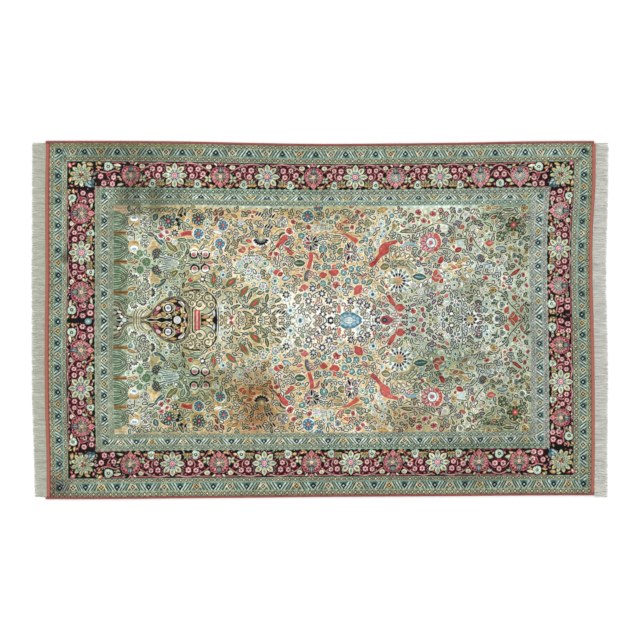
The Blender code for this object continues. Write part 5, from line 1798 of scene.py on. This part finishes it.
def strandFinish(name, colour):
    finish = Finish(name, dict(silkFinish, Roughness=0.42))
    pale = tuple(linear(colour))
    finish.colour(finish.tinted(pale, finish.noise(38, 5.0, (0.5, 14, 4)), 0.6, 1.3))
    return finish


print("finishes ready")

chance = random.Random(11)
design = Design(rug["length"], rug["width"], rug["drawnEvery"])
drawBorders(design)
drawField(design)
paintShadeAndTone(design)
rows, cols = design.ink.shape[0] // 2, design.ink.shape[1] // 2
knots = design.ink[:rows * 2, :cols * 2].reshape(rows, 2, cols, 2, 3).mean((1, 3))
print("design drawn,", cols, "by", rows, "knots")

atSides, atEnds = rug["selvedgeWidth"] + rug["gap"], rug["kilimDepth"] + rug["gap"]
columns = round((rug["length"] - 2 * atEnds) / pile["quad"])
rowsEach = round((rug["width"] - 2 * atSides) / pile["quad"] / pile["strips"])
strips, trims = [], []

def pileHeight(x, y, s, t):
    rim = np.minimum(np.minimum(s, 1 - s) * columns, np.minimum(t, 1 - t) * rowsEach * pile["strips"])
    sway = np.sin(x / 61 + np.sin(y / 87)) * np.sin(y / 53 + np.sin(x / 97))
    return pile["top"] - 0.25 + pile["sway"] * sway - pile["edgeRound"] * (rim < 0.5)

for k in range(pile["strips"]):
    span = (k / pile["strips"], (k + 1) / pile["strips"])
    mesh = clothGrid(f"pileStrip{k + 1}", columns, rowsEach, (0, 1), span, atEnds, atSides, pileHeight, knots)
    closeBelow(mesh, pile["underside"])
    strip = newPiece(f"pileStrip{k + 1}", mesh, knotted.material)
    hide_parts("rug_body")
    strips.append(strip)
print("pile laid in", len(strips), "strips of", columns, "by", rowsEach)

# the knotted back, with the same design in coarser squares
back = dict(quad=8.0, thickness=1.3, inset=1.0)
backRows = round(rug["width"] / back["quad"])
mesh = clothGrid("knottedBack", round(rug["length"] / back["quad"]), backRows, (0, 1), (0, 1),
                 atEnds + back["inset"], atSides + back["inset"], lambda x, y, s, t: x * 0, knots)
closeBelow(mesh, back["thickness"])
foundation = newPiece("knottedBack", mesh, webbed.material)
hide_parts("rug_body")
print("back laid")

# overcast edges: silk wound round and round, so that it stands in small ridges
overcast = dict(pitch=3.0, width=8.0, thickness=6.3, ridge=0.05)
for name, side, node in (("overcastBack", 1, "selvedge_back"), ("overcastFront", -1, "selvedge_front")):
    x = np.arange(-rug["length"] / 2 + 1, rug["length"] / 2 - 1, overcast["pitch"] / 2)
    edge = edgeOf("back" if side > 0 else "front", 2 * x / rug["length"])
    middle = side * (edge - overcast["width"] / 2)
    places = np.column_stack((x, middle, x * 0 + overcast["thickness"] / 2))
    widths = 1 - overcast["ridge"] * (np.arange(len(x)) % 2)
    mesh = spun(name, [(places, widths)], overcast["width"] / 2, 2)
    half = overcast["thickness"] / 2 * mm
    for vert in mesh.vertices:
        vert.co.z = half + (vert.co.z - half) * overcast["thickness"] / overcast["width"]
    piece = newPiece(name, mesh, bound.material)
    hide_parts(node)
    trims.append(piece)
print("edges overcast")

# flat-woven ends, with the weft rising and falling
kilim = dict(quad=3.0, thickness=2.4, sway=0.12, underside=0.05)
for name, side, node in (("flatWeaveLeft", -1, "kilim_left"), ("flatWeaveRight", 1, "kilim_right")):
    bm = bmesh.new()
    steps = round((rug["width"] - 2 * atSides) / kilim["quad"])
    bmesh.ops.create_grid(bm, x_segments=4, y_segments=steps, size=0.5)
    for vert in bm.verts:
        inward, t = vert.co.x + 0.5, vert.co.y + 0.5
        y = (t - 0.5) * (rug["width"] - 2 * atSides)
        x = side * (edgeOf("right" if side > 0 else "left",
                           2 * y / rug["width"]) - rug["kilimDepth"] * inward)
        y = insetPlace(x / rug["length"] + 0.5, t, 0, atSides)[1]
        z = kilim["thickness"] - kilim["sway"] * (1 + math.sin(y * 0.35) * math.cos(inward * 5))
        vert.co = Vector((float(x), float(y), z)) * mm
    bmesh.ops.remove_doubles(bm, verts=bm.verts[:], dist=1e-7)
    mesh = bpy.data.meshes.new(name)
    bm.to_mesh(mesh)
    bm.free()
    closeBelow(mesh, kilim["underside"])
    piece = newPiece(name, mesh, woven.material)
    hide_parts(node)
    trims.append(piece)
print("ends woven")

# the fringe: the silk warps running out of the flat weave
fringe = dict(
    under=1150,       # strands in the lower layer of each end
    over=480,         # and lying across them
    reach=979.0,
    shortLeft=[11.0, 7.5, 2.5, 0.5, 0.5, 0.0, 1.0, 1.0, 1.5],
    shortRight=[3.0, 4.0, 2.5, 1.5, 4.5, 8.0, 5.0, 1.0, 0.0],
    thickness=0.62,
    ragged=4.2,
    colourLeft=(203, 205, 190),
    colourRight=(219, 219, 211),
)
for name, side, node in (("fringeLeft", -1, "fringe_left"), ("fringeRight", 1, "fringe_right")):
    end = "right" if side > 0 else "left"
    finish = strandFinish(name + "Silk", fringe["colour" + end.capitalize()])
    lines = []
    for layer, count in enumerate((fringe["under"], fringe["over"])):
        for k in range(count):
            t = (k + chance.uniform(0.1, 0.9)) / count * 2 - 1
            y = t * (rug["width"] / 2 - 1.5)
            start = float(edgeOf(end, t)) + 0.2
            short = float(along(fringe["shortRight" if side > 0 else "shortLeft"], t))
            tip = fringe["reach"] - short - chance.uniform(0, fringe["ragged"]) ** 1.2
            lean = 1.6 * math.sin(y / 17) + 1.1 * math.sin(y / 6.1 + 2) + chance.gauss(0, 1.0 + 1.4 * layer)
            curl = chance.gauss(0, 0.6)
            high = 0.75 + 0.75 * layer
            places = []
            for share, rise in ((0, 1.1), (0.3, 0.9), (0.6, 0.35), (0.85, 0.1), (1, 0)):
                sideways = lean * share**1.6 + curl * math.sin(share * 5 + k)
                places.append((side * (start + share * (tip - start)), y + sideways,
                               high + rise * (0.6 + 0.4 * layer)))
            lines.append((np.array(places), [1.0, 1.0, 0.95, 0.8, 0.35]))
    mesh = spun(name, lines, fringe["thickness"], 0)
    piece = newPiece(name, mesh, finish.material)
    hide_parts(node)
    trims.append(piece)
print("fringe laid")

studio = dict(
    height=9.0,
    frame=2.1683,      # metres of floor across the picture
    floorSize=14.0,
    floorShade=0.93,
    world=1.0,
    lamp=60.0,
    lampSize=4.0,
    lampPlace=(-1.5, 2.0, 5.0),
    gap=0.0005,        # between the floor and the rug
)
scene = bpy.context.scene
camera = bpy.data.objects.new("camera", bpy.data.cameras.new("camera"))
camera.data.lens = camera.data.sensor_width * studio["height"] / studio["frame"]
camera.data.clip_end = 60
camera.location = (0, 0, studio["height"])
scene.collection.objects.link(camera)
scene.camera = camera

paper = Finish("paleFloor", {"Base Color": (studio["floorShade"],) * 3 + (1,), "Roughness": 1.0,
                             "Specular IOR Level": 0.0})
bm = bmesh.new()
bmesh.ops.create_grid(bm, x_segments=1, y_segments=1, size=studio["floorSize"] / 2)
mesh = bpy.data.meshes.new("floor")
bm.to_mesh(mesh)
bm.free()
floor = bpy.data.objects.new("floor", mesh)
mesh.materials.append(paper.material)
floor.location.z = -studio["gap"]
scene.collection.objects.link(floor)

world = bpy.data.worlds.new("studio")
world.use_nodes = True
world.node_tree.nodes["Background"].inputs["Color"].default_value = (1, 1, 1, 1)
world.node_tree.nodes["Background"].inputs["Strength"].default_value = studio["world"]
scene.world = world
lamp = bpy.data.objects.new("softBox", bpy.data.lights.new("softBox", "AREA"))
lamp.data.shape = "DISK"
lamp.data.size = studio["lampSize"]
lamp.data.energy = studio["lamp"]
lamp.location = studio["lampPlace"]
lamp.rotation_euler = (-Vector(studio["lampPlace"])).to_track_quat("-Z", "Y").to_euler()
scene.collection.objects.link(lamp)
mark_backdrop(floor, lamp, camera)
scene.view_settings.view_transform = "Standard"

faces = {piece.name: sum(len(face.vertices) - 2 for face in piece.data.polygons)
         for piece in [foundation] + strips + trims}
print("triangles", sum(faces.values()), faces)
low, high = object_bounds()
print("stage set")
